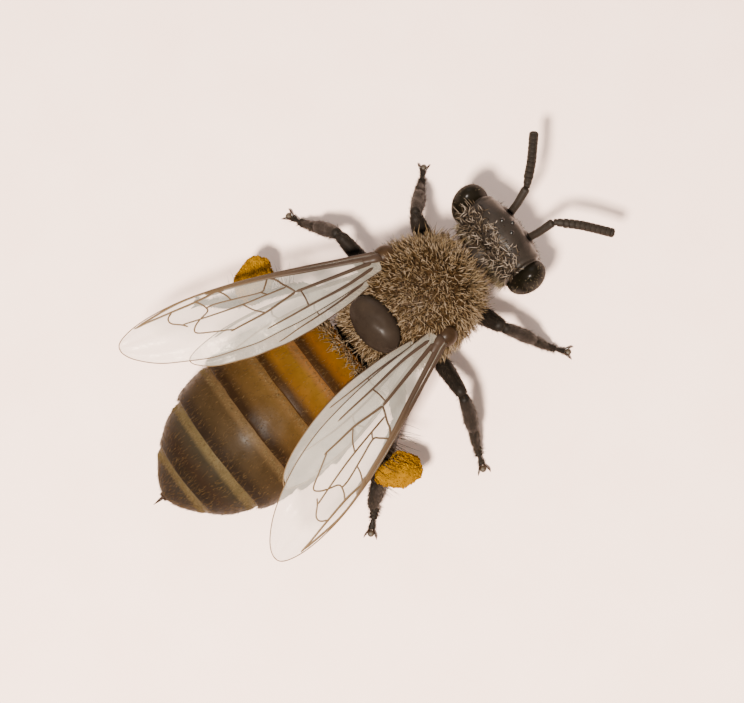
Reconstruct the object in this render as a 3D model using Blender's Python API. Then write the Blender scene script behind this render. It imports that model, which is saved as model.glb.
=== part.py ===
"""A worker honey bee at life size, standing on six feet, with full pollen baskets and half open wings.

Every size and place below is in millimetres, and make() turns them into metres. The bee faces -Y, with +Z
up and the floor at z = 0. Places are measured from the middle of the thorax along X and Y, and main() moves
the whole bee along Y in the end. Each paired piece is written once, for the side at +X, and mirrored for the
other side. The body solids reach out to the tips of the hair.
"""

import math

import bmesh
import bpy
from mathutils import Matrix, Vector

MM = 0.001
SIDES = {"left": 1, "right": -1}
GAP = 0.05  # clear space between neighbouring pieces
THINNEST = 0.25  # least radius of a leg or feeler, and half the thickness of a wing
SHARP_EDGE = math.radians(40)

# Facets round each kind of piece.
BODY_SIDES, ABDOMEN_SIDES, SMALL_SIDES, TEGULA_SIDES, LIMB_SIDES = 24, 28, 16, 12, 10

# Rounded pieces: where they sit, their half sizes along their own axes, and how they are turned.
THORAX = {"place": (0, 0, 3.0), "radii": (1.98, 1.98, 1.85)}
SCUTELLUM = {"place": (0, 1.72, 4.08), "radii": (0.98, 0.62, 0.5), "turn": (-0.5, 0, 0), "sides": SMALL_SIDES}
PROPODEUM = {"place": (0, 1.72, 2.72), "radii": (1.45, 1.02, 1.3), "sides": SMALL_SIDES}
HEAD = {"place": (0, -2.84, 2.5), "radii": (1.7, 0.94, 1.72), "taper": 0.3}
EYE = {"place": (1.43, -2.84, 2.78), "radii": (0.48, 0.6, 1.14), "turn": (0, 0.17, 0), "sides": SMALL_SIDES}
TEGULA = {"place": (1.6, 0.14, 3.94), "radii": (0.4, 0.46, 0.34), "turn": (0, 0.5, 0), "sides": TEGULA_SIDES}

# Round rods: the points that they run through, and their radii at the first and the last point.
NECK = {"line": ((0, -2.3, 2.75), (0, -1.4, 2.85)), "radius": 0.5, "tip": 0.5}
PETIOLE = {"line": ((0, 2.35, 2.25), (0, 3.2, 2.35)), "radius": 0.34, "tip": 0.34}
PROBOSCIS = {"line": ((0, -2.72, 1.25), (0, -2.5, 0.86), (0, -2.12, 0.55)), "radius": 0.3, "tip": 0.25}
MANDIBLE = {"line": ((0.66, -3.05, 1.2), (0.55, -3.3, 0.9), (0.26, -3.45, 0.62)), "radius": 0.3, "tip": 0.22}
STING = {"line": ((0, 9.4, 1.56), (0, 10.0, 1.47)), "radius": 0.25, "tip": 0.06}
# Socket, elbow, bend and tip.
ANTENNA_JOINTS = ((0.4, -3.36, 2.72), (0.65, -4.34, 3.62), (1.25, -5.0, 3.47), (1.9, -5.6, 3.0))

ABDOMEN_RINGS = (2.72, 3.96, 5.13, 6.4, 7.7, 8.9, 9.62)  # where its six plates begin and end
ABDOMEN_FRONT, ABDOMEN_REAR = ABDOMEN_RINGS[0], ABDOMEN_RINGS[-1]
AMBER_PLATES = 4  # the plates behind these are dark
ABDOMEN_HALF_WIDTH, ABDOMEN_HALF_HEIGHT = 2.46, 2.0
ABDOMEN_WIDEST = 0.45  # share of its length from the waist
WAIST_CLOSE, WAIST_POWER = 0.62, 2.4  # how far and how late the outline draws in towards the waist
TAIL_CLOSE, TAIL_POWER = 0.985, 2.1  # the same towards the tail
ABDOMEN_FULLNESS = 0.62  # a smaller power makes a fuller outline
BELLY_DEPTH = 0.86  # depth of the lower half as a share of the upper
WAIST_Z, ABDOMEN_DROOP, DROOP_POWER = 2.62, 1.05, 1.5
# Share of a plate's length, and how much smaller than the full outline it is there.
PLATE_PROFILE = ((0, 0.05), (0.3, 0.025), (0.62, 0.004), (0.88, 0), (1, 0.022))

# Angles in degrees: spread from the body's line, rise of the tip, and roll of the leading edge downward.
FOREWING = {"root": (1.4, 0.55, 4.15), "length": 7.9, "spread": 18.5, "rise": 2.6, "roll": 9.0}
HINDWING = {"root": (1.25, 1.15, 4.1), "length": 5.6, "spread": 12.5, "rise": 4.2, "roll": 9.0}
# Outlines as shares of the wing's length: along it from the root, and across it towards the leading edge.
FOREWING_OUTLINE = (
    (0, 0.042), (0.15, 0.058), (0.35, 0.08), (0.55, 0.094), (0.74, 0.088), (0.89, 0.058), (0.98, 0.016),
    (1, -0.025), (0.96, -0.075), (0.86, -0.122), (0.72, -0.153), (0.57, -0.16), (0.42, -0.143),
    (0.26, -0.11), (0.11, -0.068), (0, -0.035),
)
HINDWING_OUTLINE = (
    (0, 0.045), (0.2, 0.06), (0.45, 0.08), (0.66, 0.076), (0.86, 0.042), (1, -0.02), (0.95, -0.085),
    (0.8, -0.13), (0.6, -0.15), (0.42, -0.145), (0.27, -0.12), (0.12, -0.085), (0, -0.045),
)
OUTLINE_STEPS = 3  # points on each span of an outline

# Joints of each leg: hip, trochanter's end, knee, ankle, heel, ball of the foot and toe.
HIP, TROCHANTER, KNEE, ANKLE, TOE = 0, 1, 2, 3, 6
LEG_JOINTS = {
    "front": (
        (0.5, -0.98, 1.75), (0.95, -1.16, 1.3), (2.15, -1.36, 2.8), (2.82, -2.1, 1.25),
        (3.14, -2.42, 0.48), (3.38, -2.64, 0.2), (3.68, -2.9, 0.2),
    ),
    "middle": (
        (0.6, 0.22, 1.6), (1.1, 0.48, 1.2), (3.05, 0.8, 2.7), (3.86, 0.98, 1.2),
        (4.3, 1.14, 0.48), (4.61, 1.25, 0.2), (4.94, 1.38, 0.2),
    ),
    "hind": (
        (0.6, 1.3, 1.7), (1.05, 1.72, 1.25), (2.45, 2.75, 3.0), (3.38, 4.15, 1.35),
        (3.92, 4.76, 0.48), (4.2, 5.01, 0.2), (4.5, 5.22, 0.2),
    ),
}
# Sections of each length: joints past its first one, half the width across the leg, and half the thickness.
COXA = ((0, 0.42, 0.42), (0.5, 0.42, 0.4), (1, 0.3, 0.28))
FEMUR = ((0, 0.28, 0.27), (0.3, 0.42, 0.36), (0.65, 0.38, 0.33), (1, 0.28, 0.26))
TIBIA = ((0, 0.27, 0.26), (0.35, 0.34, 0.29), (0.75, 0.37, 0.3), (1, 0.3, 0.27))
HIND_TIBIA = ((0, 0.28, 0.26), (0.3, 0.42, 0.28), (0.7, 0.6, 0.28), (0.93, 0.62, 0.27), (1, 0.45, 0.26))
TOES = ((2, 0.27, 0.26), (3, 0.28, 0.27))
TARSUS = ((0, 0.28, 0.26), (0.35, 0.32, 0.27), (0.8, 0.3, 0.26), (1, 0.27, 0.26), *TOES)
HIND_TARSUS = ((0, 0.4, 0.26), (0.25, 0.54, 0.27), (0.75, 0.5, 0.26), (1, 0.32, 0.26), *TOES)
LEG_LEAN = Vector((0, 0, 0.45))  # how far the flat side of each leg looks up
POLLEN = {"radii": (0.76, 0.78, 0.48), "sides": SMALL_SIDES}
POLLEN_ALONG, POLLEN_OUT = 0.8, 0.56  # share of the shin from the knee, and distance out from its middle


def finish(name, colour, roughness, alpha=1.0):
    """A plain surface of one colour."""
    material = bpy.data.materials.new(name)
    material.use_nodes = True
    shader = material.node_tree.nodes["Principled BSDF"]
    shader.inputs["Base Color"].default_value = (*colour, 1)
    shader.inputs["Roughness"].default_value = roughness
    shader.inputs["Metallic"].default_value = 0.0
    shader.inputs["Alpha"].default_value = alpha
    return material


def make(name, shape, material, root, place=(0, 0, 0), turn=(0, 0, 0), side=1):
    """An object from a bmesh in millimetres. Side -1 makes the mirror image across the middle of the bee."""
    bmesh.ops.scale(shape, vec=Vector((side, 1, 1)) * MM, verts=shape.verts)
    bmesh.ops.recalc_face_normals(shape, faces=shape.faces)
    mesh = bpy.data.meshes.new(name)
    shape.to_mesh(mesh)
    shape.free()
    mesh.shade_smooth()
    mesh.set_sharp_from_angle(angle=SHARP_EDGE)
    mesh.materials.append(material)
    piece = bpy.data.objects.new(name, mesh)
    piece.location = Vector((side * place[0], place[1], place[2])) * MM
    piece.rotation_euler = (turn[0], side * turn[1], side * turn[2])
    piece.parent = root
    bpy.context.scene.collection.objects.link(piece)
    return piece


def add(name, build, material, root, side=1, hosts=(), place=(0, 0, 0), turn=(0, 0, 0)):
    """A piece whose shape is build(0), with room for it in each host, cut by build(GAP)."""
    piece = make(name, build(0), material, root, place, turn, side)
    if hosts:
        cutter = make("room_for_" + name, build(GAP), material, root, place, turn, side)
        cutter.hide_render = True
        cutter.display_type = "WIRE"
        for host in hosts:
            cut = host.modifiers.new(cutter.name, "BOOLEAN")
            cut.operation = "DIFFERENCE"
            cut.solver = "EXACT"
            cut.object = cutter
    return piece


def add_egg(name, sizes, material, root, side=1, hosts=()):
    """A rounded piece from its table of sizes, in its place."""
    return add(name, lambda grow: egg(sizes, grow), material, root, side, hosts,
               sizes["place"], sizes.get("turn", (0, 0, 0)))


def egg(sizes, grow):
    """An ellipsoid round the origin. Its taper narrows it across X below and widens it above."""
    shape = bmesh.new()
    sides = sizes.get("sides", BODY_SIDES)
    bmesh.ops.create_uvsphere(shape, u_segments=sides, v_segments=sides // 2, radius=1)
    radii = Vector(sizes["radii"]) + Vector((grow, grow, grow))
    for vert in shape.verts:
        vert.co.x *= 1 + sizes.get("taper", 0) * vert.co.z
        vert.co *= radii
    return shape


def skin_rings(rings):
    """One closed skin over a row of rings of equal count, with flat ends."""
    shape = bmesh.new()
    rows = [[shape.verts.new(point) for point in ring] for ring in rings]
    count = len(rows[0])
    for near, far in zip(rows, rows[1:]):
        for i in range(count):
            shape.faces.new((near[i], near[(i + 1) % count], far[(i + 1) % count], far[i]))
    shape.faces.new(rows[0])
    shape.faces.new(reversed(rows[-1]))
    return shape


def joint_normal(joints, index):
    """The direction of a limb at one of its joints: half way between the lengths that meet there."""
    total = Vector()
    if index > 0:
        total += (joints[index] - joints[index - 1]).normalized()
    if index < len(joints) - 1:
        total += (joints[index + 1] - joints[index]).normalized()
    return total.normalized()


def limb(joints, first, last, sections, face, grow=0.0, on_floor=False):
    """The stretch of a jointed limb from joint first to joint last, half the gap short of its neighbours.

    Sections are (joints past first, half width, half thickness), and its flat side looks along face.
    """
    joints = [Vector(joint) for joint in joints]
    rings = []
    for along, half_width, half_depth in sections:
        index = min(first + int(along), last)
        share = along - int(along)
        if share:
            centre = joints[index].lerp(joints[index + 1], share)
            normal = (joints[index + 1] - joints[index]).normalized()
        else:
            centre = joints[index].copy()
            normal = joint_normal(joints, index)
        if along == sections[0][0] and first > 0:
            centre += normal * GAP / 2
        if along == sections[-1][0] and last < len(joints) - 1:
            centre -= normal * GAP / 2
        across = normal.cross(face).normalized()
        through = across.cross(normal)
        ring = []
        for i in range(LIMB_SIDES):
            angle = (i + 0.5) * math.tau / LIMB_SIDES
            point = centre + across * (half_width + grow) * math.cos(angle)
            point += through * (half_depth + grow) * math.sin(angle)
            if on_floor:
                point.z = max(point.z, 0)
            ring.append(point)
        rings.append(ring)
    return skin_rings(rings)


def round_limb(joints, first, last, radii, grow):
    """A limb of round section, with one radius for each of its joints."""
    sections = [(i, radius, radius) for i, radius in enumerate(radii)]
    sideways = Vector((1, 0, 0))
    return limb(joints, first, last, sections, sideways, grow)


def rod(sizes, grow):
    """A round rod from its table of sizes."""
    line = sizes["line"]
    steps = len(line) - 1
    radii = [sizes["radius"] + (sizes["tip"] - sizes["radius"]) * i / steps for i in range(steps + 1)]
    return round_limb(line, 0, steps, radii, grow)


def feeler(first, last, grow):
    """The stretch of an antenna from joint first to joint last."""
    return round_limb(ANTENNA_JOINTS, first, last, [THINNEST] * (last - first + 1), grow)


def smooth_loop(points, steps):
    """A closed outline through the points, with steps on each span of a Catmull-Rom curve."""
    loop = []
    count = len(points)
    for i in range(count):
        before, start, end, after = (Vector(points[(i + k) % count]) for k in (-1, 0, 1, 2))
        for step in range(steps):
            t = step / steps
            line = 2 * start + (end - before) * t
            bend = (2 * before - 5 * start + 4 * end - after) * t ** 2
            twist = (3 * start - before - 3 * end + after) * t ** 3
            loop.append((line + bend + twist) / 2)
    return loop


def wing_frame(sizes):
    """A wing's own axes as a matrix: X runs out to its tip, and Y to its leading edge, away from the body."""
    swing = Matrix.Rotation(math.radians(90 - sizes["spread"]), 4, "Z")
    lift = Matrix.Rotation(math.radians(-sizes["rise"]), 4, "Y")
    roll = Matrix.Rotation(math.radians(sizes["roll"]), 4, "X")
    lead_outward = Matrix.Diagonal((1, -1, 1, 1))
    return Matrix.Translation(Vector(sizes["root"])) @ swing @ lift @ roll @ lead_outward


def wing(outline, sizes, grow):
    """A wing as a plate of even thickness."""
    frame = wing_frame(sizes)
    loop = smooth_loop(outline, OUTLINE_STEPS)
    middle = sum(loop, Vector((0, 0))) / len(loop)
    half = THINNEST + grow
    rings = []
    for height in (-half, half):
        ring = []
        for point in loop:
            flat = point * sizes["length"] + (point - middle).normalized() * grow
            ring.append(frame @ Vector((flat.x, flat.y, height)))
        rings.append(ring)
    shape = skin_rings(rings)
    bmesh.ops.triangulate(shape, faces=[face for face in shape.faces if len(face.verts) > 4])
    return shape


def abdomen_ring(y, shrink):
    """A ring of the abdomen at y: an oval that follows the body's outline, flatter below than above."""
    share = (y - ABDOMEN_FRONT) / (ABDOMEN_REAR - ABDOMEN_FRONT)
    if share < ABDOMEN_WIDEST:
        closed = WAIST_CLOSE * (1 - share / ABDOMEN_WIDEST) ** WAIST_POWER
    else:
        closed = TAIL_CLOSE * ((share - ABDOMEN_WIDEST) / (1 - ABDOMEN_WIDEST)) ** TAIL_POWER
    size = (1 - closed) ** ABDOMEN_FULLNESS * (1 - shrink)
    middle = WAIST_Z - ABDOMEN_DROOP * share ** DROOP_POWER
    ring = []
    for i in range(ABDOMEN_SIDES):
        angle = i * math.tau / ABDOMEN_SIDES
        depth = 1 if math.sin(angle) > 0 else BELLY_DEPTH
        x = ABDOMEN_HALF_WIDTH * size * math.cos(angle)
        z = middle + ABDOMEN_HALF_HEIGHT * size * depth * math.sin(angle)
        ring.append(Vector((x, y, z)))
    return ring


def abdomen_plate(front, rear):
    """One plate of the abdomen: a barrel that is fullest just before its hind margin."""
    first = front + (GAP / 2 if front > ABDOMEN_FRONT else 0)
    last = rear - (GAP / 2 if rear < ABDOMEN_REAR else 0)
    length = last - first
    return skin_rings([abdomen_ring(first + length * share, shrink) for share, shrink in PLATE_PROFILE])


def build_abdomen(root, amber, brown, dark):
    """Six plates and the tip of the sting. Returns the first plate, which the waist runs into."""
    plates = []
    for number, (front, rear) in enumerate(zip(ABDOMEN_RINGS, ABDOMEN_RINGS[1:]), 1):
        colour = amber if number <= AMBER_PLATES else brown
        plates.append(make(f"abdomen_{number}", abdomen_plate(front, rear), colour, root))
    add("sting", lambda grow: rod(STING, grow), dark, root, hosts=plates[-1:])
    return plates[0]


def build_head(root, head, dark, brown, eye_black):
    """Eyes, jaws and feelers set into the head, and the folded tongue under it."""
    add("proboscis", lambda grow: rod(PROBOSCIS, grow), brown, root, hosts=[head])
    for word, side in SIDES.items():
        add_egg(f"eye_{word}", EYE, eye_black, root, side, [head])
        add(f"mandible_{word}", lambda grow: rod(MANDIBLE, grow), brown, root, side, [head])
        add(f"antenna_scape_{word}", lambda grow: feeler(0, 1, grow), dark, root, side, [head])
        add(f"antenna_flagellum_{word}", lambda grow: feeler(1, 3, grow), dark, root, side)


def build_wings(root, thorax, brown, glassy):
    """Two pairs of wings, the hind one cut back under the forewing, and the scale over each root."""
    for word, side in SIDES.items():
        hindwing = add(f"hindwing_{word}", lambda grow: wing(HINDWING_OUTLINE, HINDWING, grow), glassy, root,
                       side, [thorax])
        tegula = add_egg(f"tegula_{word}", TEGULA, brown, root, side, [thorax])
        add(f"forewing_{word}", lambda grow: wing(FOREWING_OUTLINE, FOREWING, grow), glassy, root,
            side, [hindwing, tegula, thorax])


def build_legs(root, hosts, dark, yellow):
    """Six legs of four lengths each, and a load of pollen on each hind tibia."""
    for pair, joints in LEG_JOINTS.items():
        knee, ankle = Vector(joints[KNEE]), Vector(joints[ANKLE])
        outward = (Vector((ankle.y - knee.y, knee.x - ankle.x, 0)).normalized() + LEG_LEAN).normalized()
        shin, foot = (HIND_TIBIA, HIND_TARSUS) if pair == "hind" else (TIBIA, TARSUS)

        def bone(first, last, sections, on_floor=False):
            return lambda grow: limb(joints, first, last, sections, outward, grow, on_floor)

        for word, side in SIDES.items():
            label = f"{pair}_{word}"
            load = [build_pollen(word, side, knee, ankle, outward, root, yellow)] if pair == "hind" else []
            add(f"coxa_{label}", bone(HIP, TROCHANTER, COXA), dark, root, side, hosts)
            add(f"femur_{label}", bone(TROCHANTER, KNEE, FEMUR), dark, root, side, hosts)
            add(f"tibia_{label}", bone(KNEE, ANKLE, shin), dark, root, side, load)
            add(f"tarsus_{label}", bone(ANKLE, TOE, foot, on_floor=True), dark, root, side)


def build_pollen(word, side, knee, ankle, outward, root, yellow):
    """The pollen packed across the outer face of a hind tibia, standing well out from it."""
    shin = (ankle - knee).normalized()
    place = knee.lerp(ankle, POLLEN_ALONG) + outward * POLLEN_OUT
    load = egg(POLLEN, 0)
    axes = Matrix((outward, shin.cross(outward), shin)).transposed()
    bmesh.ops.transform(load, matrix=axes.to_4x4(), verts=load.verts)
    return make(f"pollen_{word}", load, yellow, root, place, side=side)


def centre_along_y(root):
    """Move the bee along Y until its ends lie equally far from the origin."""
    bpy.context.view_layer.update()
    shown = [piece for piece in root.children if not piece.hide_render]
    reach = [(piece.matrix_world @ vert.co).y for piece in shown for vert in piece.data.vertices]
    root.location.y = -(min(reach) + max(reach)) / 2


def main():
    for old in list(bpy.data.objects):
        bpy.data.objects.remove(old)
    root = bpy.data.objects.new("bee", None)
    bpy.context.scene.collection.objects.link(root)

    dark = finish("dark cuticle", (0.052, 0.040, 0.030), 0.38)
    brown = finish("brown cuticle", (0.075, 0.055, 0.043), 0.3)
    amber = finish("amber cuticle", (0.36, 0.16, 0.025), 0.4)
    furred = finish("tan fur", (0.33, 0.22, 0.11), 0.9)
    eye_black = finish("eye", (0.022, 0.016, 0.010), 0.3)
    glassy = finish("wing membrane", (0.62, 0.6, 0.55), 0.25, alpha=0.4)
    yellow = finish("pollen", (0.5, 0.24, 0.02), 0.85)

    head = add_egg("head", HEAD, dark, root)
    thorax = add_egg("thorax", THORAX, furred, root)
    propodeum = add_egg("propodeum", PROPODEUM, furred, root, hosts=[thorax])
    add_egg("scutellum", SCUTELLUM, brown, root, hosts=[thorax, propodeum])
    add("neck", lambda grow: rod(NECK, grow), dark, root, hosts=[head, thorax])
    first_plate = build_abdomen(root, amber, brown, dark)
    add("petiole", lambda grow: rod(PETIOLE, grow), dark, root, hosts=[propodeum, first_plate])
    build_head(root, head, dark, brown, eye_black)
    build_wings(root, thorax, brown, glassy)
    build_legs(root, [thorax, propodeum], dark, yellow)
    centre_along_y(root)


main()
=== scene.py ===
"""The looks of a worker honey bee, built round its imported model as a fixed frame.

The bee faces -Y and stands on the floor at z = 0. Meshes are worked out in millimetres in the frame's
axes, and Surface.piece() turns them into metres. Each part of the body is a class that reads where it sits
from the frame, builds its own meshes, dresses them, and reports them through logging.
"""

import logging
import math
from collections.abc import Callable, Sequence
from dataclasses import dataclass, field
from enum import Enum

import bpy
import mathutils
import numpy as np
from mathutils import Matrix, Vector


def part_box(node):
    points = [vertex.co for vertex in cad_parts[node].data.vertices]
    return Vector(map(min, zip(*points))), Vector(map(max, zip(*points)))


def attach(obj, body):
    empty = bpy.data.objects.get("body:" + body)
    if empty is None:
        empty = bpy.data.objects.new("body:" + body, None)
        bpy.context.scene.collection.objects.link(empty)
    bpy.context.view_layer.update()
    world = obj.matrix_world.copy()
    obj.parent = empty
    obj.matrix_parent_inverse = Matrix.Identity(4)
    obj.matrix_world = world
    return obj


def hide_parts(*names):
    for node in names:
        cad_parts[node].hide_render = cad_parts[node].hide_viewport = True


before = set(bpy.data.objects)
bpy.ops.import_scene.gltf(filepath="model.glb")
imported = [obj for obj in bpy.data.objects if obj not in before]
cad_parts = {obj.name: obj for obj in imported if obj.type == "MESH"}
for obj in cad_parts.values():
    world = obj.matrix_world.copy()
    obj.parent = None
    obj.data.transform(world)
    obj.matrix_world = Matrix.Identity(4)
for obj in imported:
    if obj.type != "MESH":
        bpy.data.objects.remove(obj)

LOG = logging.getLogger("bee")
MM = 0.001
SEED = 7
RANDOM = np.random.default_rng(SEED)  # hairs and grains draw from it one after another
BAKE_MAP = "OFBake"
PATCH = 0.003  # width of one hair's patch on its bake map
FACING = 0.09  # the most that facing corners of neighbours in a limb lie apart, in millimetres
TINY = 1e-12
Array = np.ndarray
Tree = bpy.types.NodeTree
Socket = bpy.types.NodeSocket
Stations = tuple[tuple[float, float, float], ...]  # share of a length, half width, half thickness
SHORT = (0.0, 0.5)  # rings that are enough for a short hair, as shares of its length
BACK = np.array([0.0, 1.0, 0.0])
UP = np.array([0.0, 0.0, 1.0])
LEVEL = np.array([1.0, 1.0, 0.0])  # keeps what a vector has along the floor


class Side(Enum):
    """One side of the bee, with the sign of its X."""

    LEFT = 1
    RIGHT = -1

    @property
    def word(self) -> str:
        """The side as node names spell it."""
        return self.name.lower()


# --- places read from the frame ---


def corners(*nodes: str) -> tuple[Array, Array]:
    """The box round some nodes of the frame.

    Args:
        nodes: names of nodes.

    Returns:
        Its lowest and highest corners, in millimetres.
    """
    boxes = [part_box(node) for node in nodes]
    low = np.min([np.array(box[0]) for box in boxes], axis=0)
    high = np.max([np.array(box[1]) for box in boxes], axis=0)
    return low / MM, high / MM


def centre_and_half(node: str) -> tuple[Array, Array]:
    """The middle of a node's box and half its size, in millimetres."""
    low, high = corners(node)
    return (low + high) / 2, (high - low) / 2


def node_points(node: str) -> Array:
    """The corners of a node's mesh.

    Args:
        node: name of the node.

    Returns:
        Each place once, in millimetres.
    """
    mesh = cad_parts[node].data
    flat = np.zeros(len(mesh.vertices) * 3, np.float32)
    mesh.vertices.foreach_get("co", flat)
    return np.unique(np.round(flat.reshape(-1, 3).astype(float) / MM, 4), axis=0)


def meeting(first: str, second: str) -> Array:
    """The joint between two nodes of a limb: the middle of the corners that face each other.

    Args:
        first: name of one node.
        second: name of its neighbour.

    Returns:
        The joint's place, in millimetres.
    """
    one, two = node_points(first), node_points(second)
    apart = np.linalg.norm(one[:, None] - two[None], axis=2)
    near_one = one[apart.min(axis=1) < FACING]
    near_two = two[apart.min(axis=0) < FACING]
    return (near_one.mean(axis=0) + near_two.mean(axis=0)) / 2


def far_end(node: str, joint: Array, depth: float = 0.12) -> Array:
    """The middle of the end of a limb's node that lies furthest from one of its joints.

    Args:
        node: name of the node.
        joint: a place at its other end, in millimetres.
        depth: how much of the end to average, in millimetres.

    Returns:
        The end's place, in millimetres.
    """
    points = node_points(node)
    line = unit(points.mean(axis=0) - joint)
    along = (points - joint) @ line
    return points[along > along.max() - depth].mean(axis=0)


# --- arithmetic on arrays ---


def unit(vectors: Array) -> Array:
    """The vectors at length one."""
    length = np.linalg.norm(vectors, axis=-1, keepdims=True)
    return np.asarray(vectors, float) / np.maximum(length, TINY)


def smooth(values: Array, low: float, high: float) -> Array:
    """A soft step from 0 at low to 1 at high."""
    t = np.clip((np.asarray(values, float) - low) / (high - low), 0, 1)
    return t * t * (3 - 2 * t)


def hill(values: Array, middle: float, width: float) -> Array:
    """A soft bump of height one round the middle."""
    return np.exp(-(((np.asarray(values, float) - middle) / width) ** 2))


def ripple(points: Array, size: float, seed: int) -> Array:
    """Gentle unevenness from -1 to 1, as grown things have.

    Args:
        points: places, in millimetres.
        size: distance from one swell to the next.
        seed: picks the pattern.

    Returns:
        A number for each place.
    """
    draw = np.random.default_rng(SEED + seed)
    total = np.zeros(points.shape[:-1])
    for _ in range(7):
        way = unit(draw.normal(size=3)) * math.tau / size * draw.uniform(0.6, 1.5)
        total = total + np.sin(points @ way + draw.uniform(0, math.tau))
    return total / 4


def mirror(points: Array, side: Side) -> Array:
    """Points written for the left side, moved to the given side."""
    return np.asarray(points, float) * np.array([side.value, 1.0, 1.0])


def curve_through(points: Sequence[Sequence[float]], count: int) -> Array:
    """Evenly spread points on a smooth curve through the given ones.

    Args:
        points: places that the curve passes, in order.
        count: how many points to return.

    Returns:
        An array of count rows.
    """
    knots = np.asarray(points, float)
    padded = np.vstack([2 * knots[0] - knots[1], knots, 2 * knots[-1] - knots[-2]])
    fine = []
    for before, start, end, after in zip(padded, padded[1:], padded[2:], padded[3:]):
        t = np.linspace(0, 1, 24, endpoint=False)[:, None]
        line = 2 * start + (end - before) * t
        bend = (2 * before - 5 * start + 4 * end - after) * t**2
        twist = (3 * start - before - 3 * end + after) * t**3
        fine.append((line + bend + twist) / 2)
    path = np.vstack([*fine, knots[-1:]])
    steps = np.concatenate([[0], np.cumsum(np.linalg.norm(np.diff(path, axis=0), axis=1))])
    places = np.linspace(0, steps[-1], count)
    return np.stack([np.interp(places, steps, path[:, k]) for k in range(path.shape[1])], axis=1)


def turn_about(axis: Sequence[float], angle: float) -> Array:
    """A turn as a matrix for column vectors.

    Args:
        axis: what to turn about.
        angle: how far, in radians.

    Returns:
        The matrix.
    """
    x, y, z = unit(axis)
    cross = np.array([[0, -z, y], [z, 0, -x], [-y, x, 0]])
    return np.eye(3) + math.sin(angle) * cross + (1 - math.cos(angle)) * cross @ cross


# --- surfaces ---


@dataclass
class Surface:
    """Corners and triangles of closed skins, with a value for each corner where a finish needs it."""

    points: Array
    triangles: Array
    values: dict[str, Array] = field(default_factory=dict)
    bake: Array | None = None  # place on the bake map for each triangle's corners

    @staticmethod
    def joined(parts: Sequence["Surface"]) -> "Surface":
        """One surface from several.

        Args:
            parts: surfaces; a value that only some of them have is 0 on the others.

        Returns:
            The joined surface.
        """
        offsets = np.cumsum([0] + [len(part.points) for part in parts[:-1]])
        names = sorted({name for part in parts for name in part.values})
        values = {}
        for name in names:
            each = [part.values.get(name, np.zeros(len(part.points))) for part in parts]
            values[name] = np.concatenate(each)
        bake = np.concatenate([part.bake for part in parts]) if parts[0].bake is not None else None
        points = np.concatenate([part.points for part in parts])
        triangles = np.concatenate([part.triangles + offset for part, offset in zip(parts, offsets)])
        return Surface(points, triangles, values, bake)

    def piece(self, name: str, finish: "Finish", slot: str, replaces: Sequence[str] = ()) -> None:
        """Make the surface a piece of the bee.

        Args:
            name: the piece's name.
            finish: what it is made of.
            slot: not used.
            replaces: nodes of the frame that it stands for.
        """
        mesh = bpy.data.meshes.new(name)
        count = len(self.triangles)
        mesh.vertices.add(len(self.points))
        mesh.vertices.foreach_set("co", (self.points * MM).astype(np.float32).ravel())
        mesh.loops.add(count * 3)
        mesh.loops.foreach_set("vertex_index", self.triangles.astype(np.int32).ravel())
        mesh.polygons.add(count)
        mesh.polygons.foreach_set("loop_start", np.arange(0, count * 3, 3, dtype=np.int32))
        mesh.update(calc_edges=True)
        for key, numbers in self.values.items():
            layer = mesh.attributes.new(key, "FLOAT", "POINT")
            layer.data.foreach_set("value", numbers.astype(np.float32))
        if self.bake is not None:
            layer = mesh.uv_layers.new(name=BAKE_MAP)
            layer.uv.foreach_set("vector", self.bake.astype(np.float32).ravel())
        else:  # strands of hair keep their flat sides
            mesh.shade_smooth()
        mesh.materials.append(finish.material())
        shown = bpy.data.objects.new(name, mesh)
        bpy.context.scene.collection.objects.link(shown)
        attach(shown, "root")
        if replaces:
            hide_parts(*replaces)
        LOG.info("%s: %d triangles", name, count)


@dataclass(frozen=True)
class Tile:
    """The part of a bake map that belongs to one skin, where the map is an even sheet of tiles."""

    index: int = 0
    columns: int = 1
    rows: int = 1
    margin: float = 0.02  # kept clear at the tile's edge, as a share of it
    used: float = 0.94

    def place(self, across: Array, along: Array) -> Array:
        """Where places on the skin lie on the map.

        Args:
            across: shares of the way round the skin, from 0 to 1.
            along: shares of the way along it.

        Returns:
            The places.
        """
        u = (self.index % self.columns + self.margin + self.used * across) / self.columns
        v = (self.index // self.columns + self.margin + self.used * along) / self.rows
        return np.stack([u, v], axis=-1)


@dataclass
class Roots:
    """Where the hairs of a coat spring from."""

    points: Array
    normals: Array
    places: Array  # on the bake map

    def kept(self, keep: Array) -> "Roots":
        """Only the roots for which keep is true."""
        return Roots(self.points[keep], self.normals[keep], self.places[keep])


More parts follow.
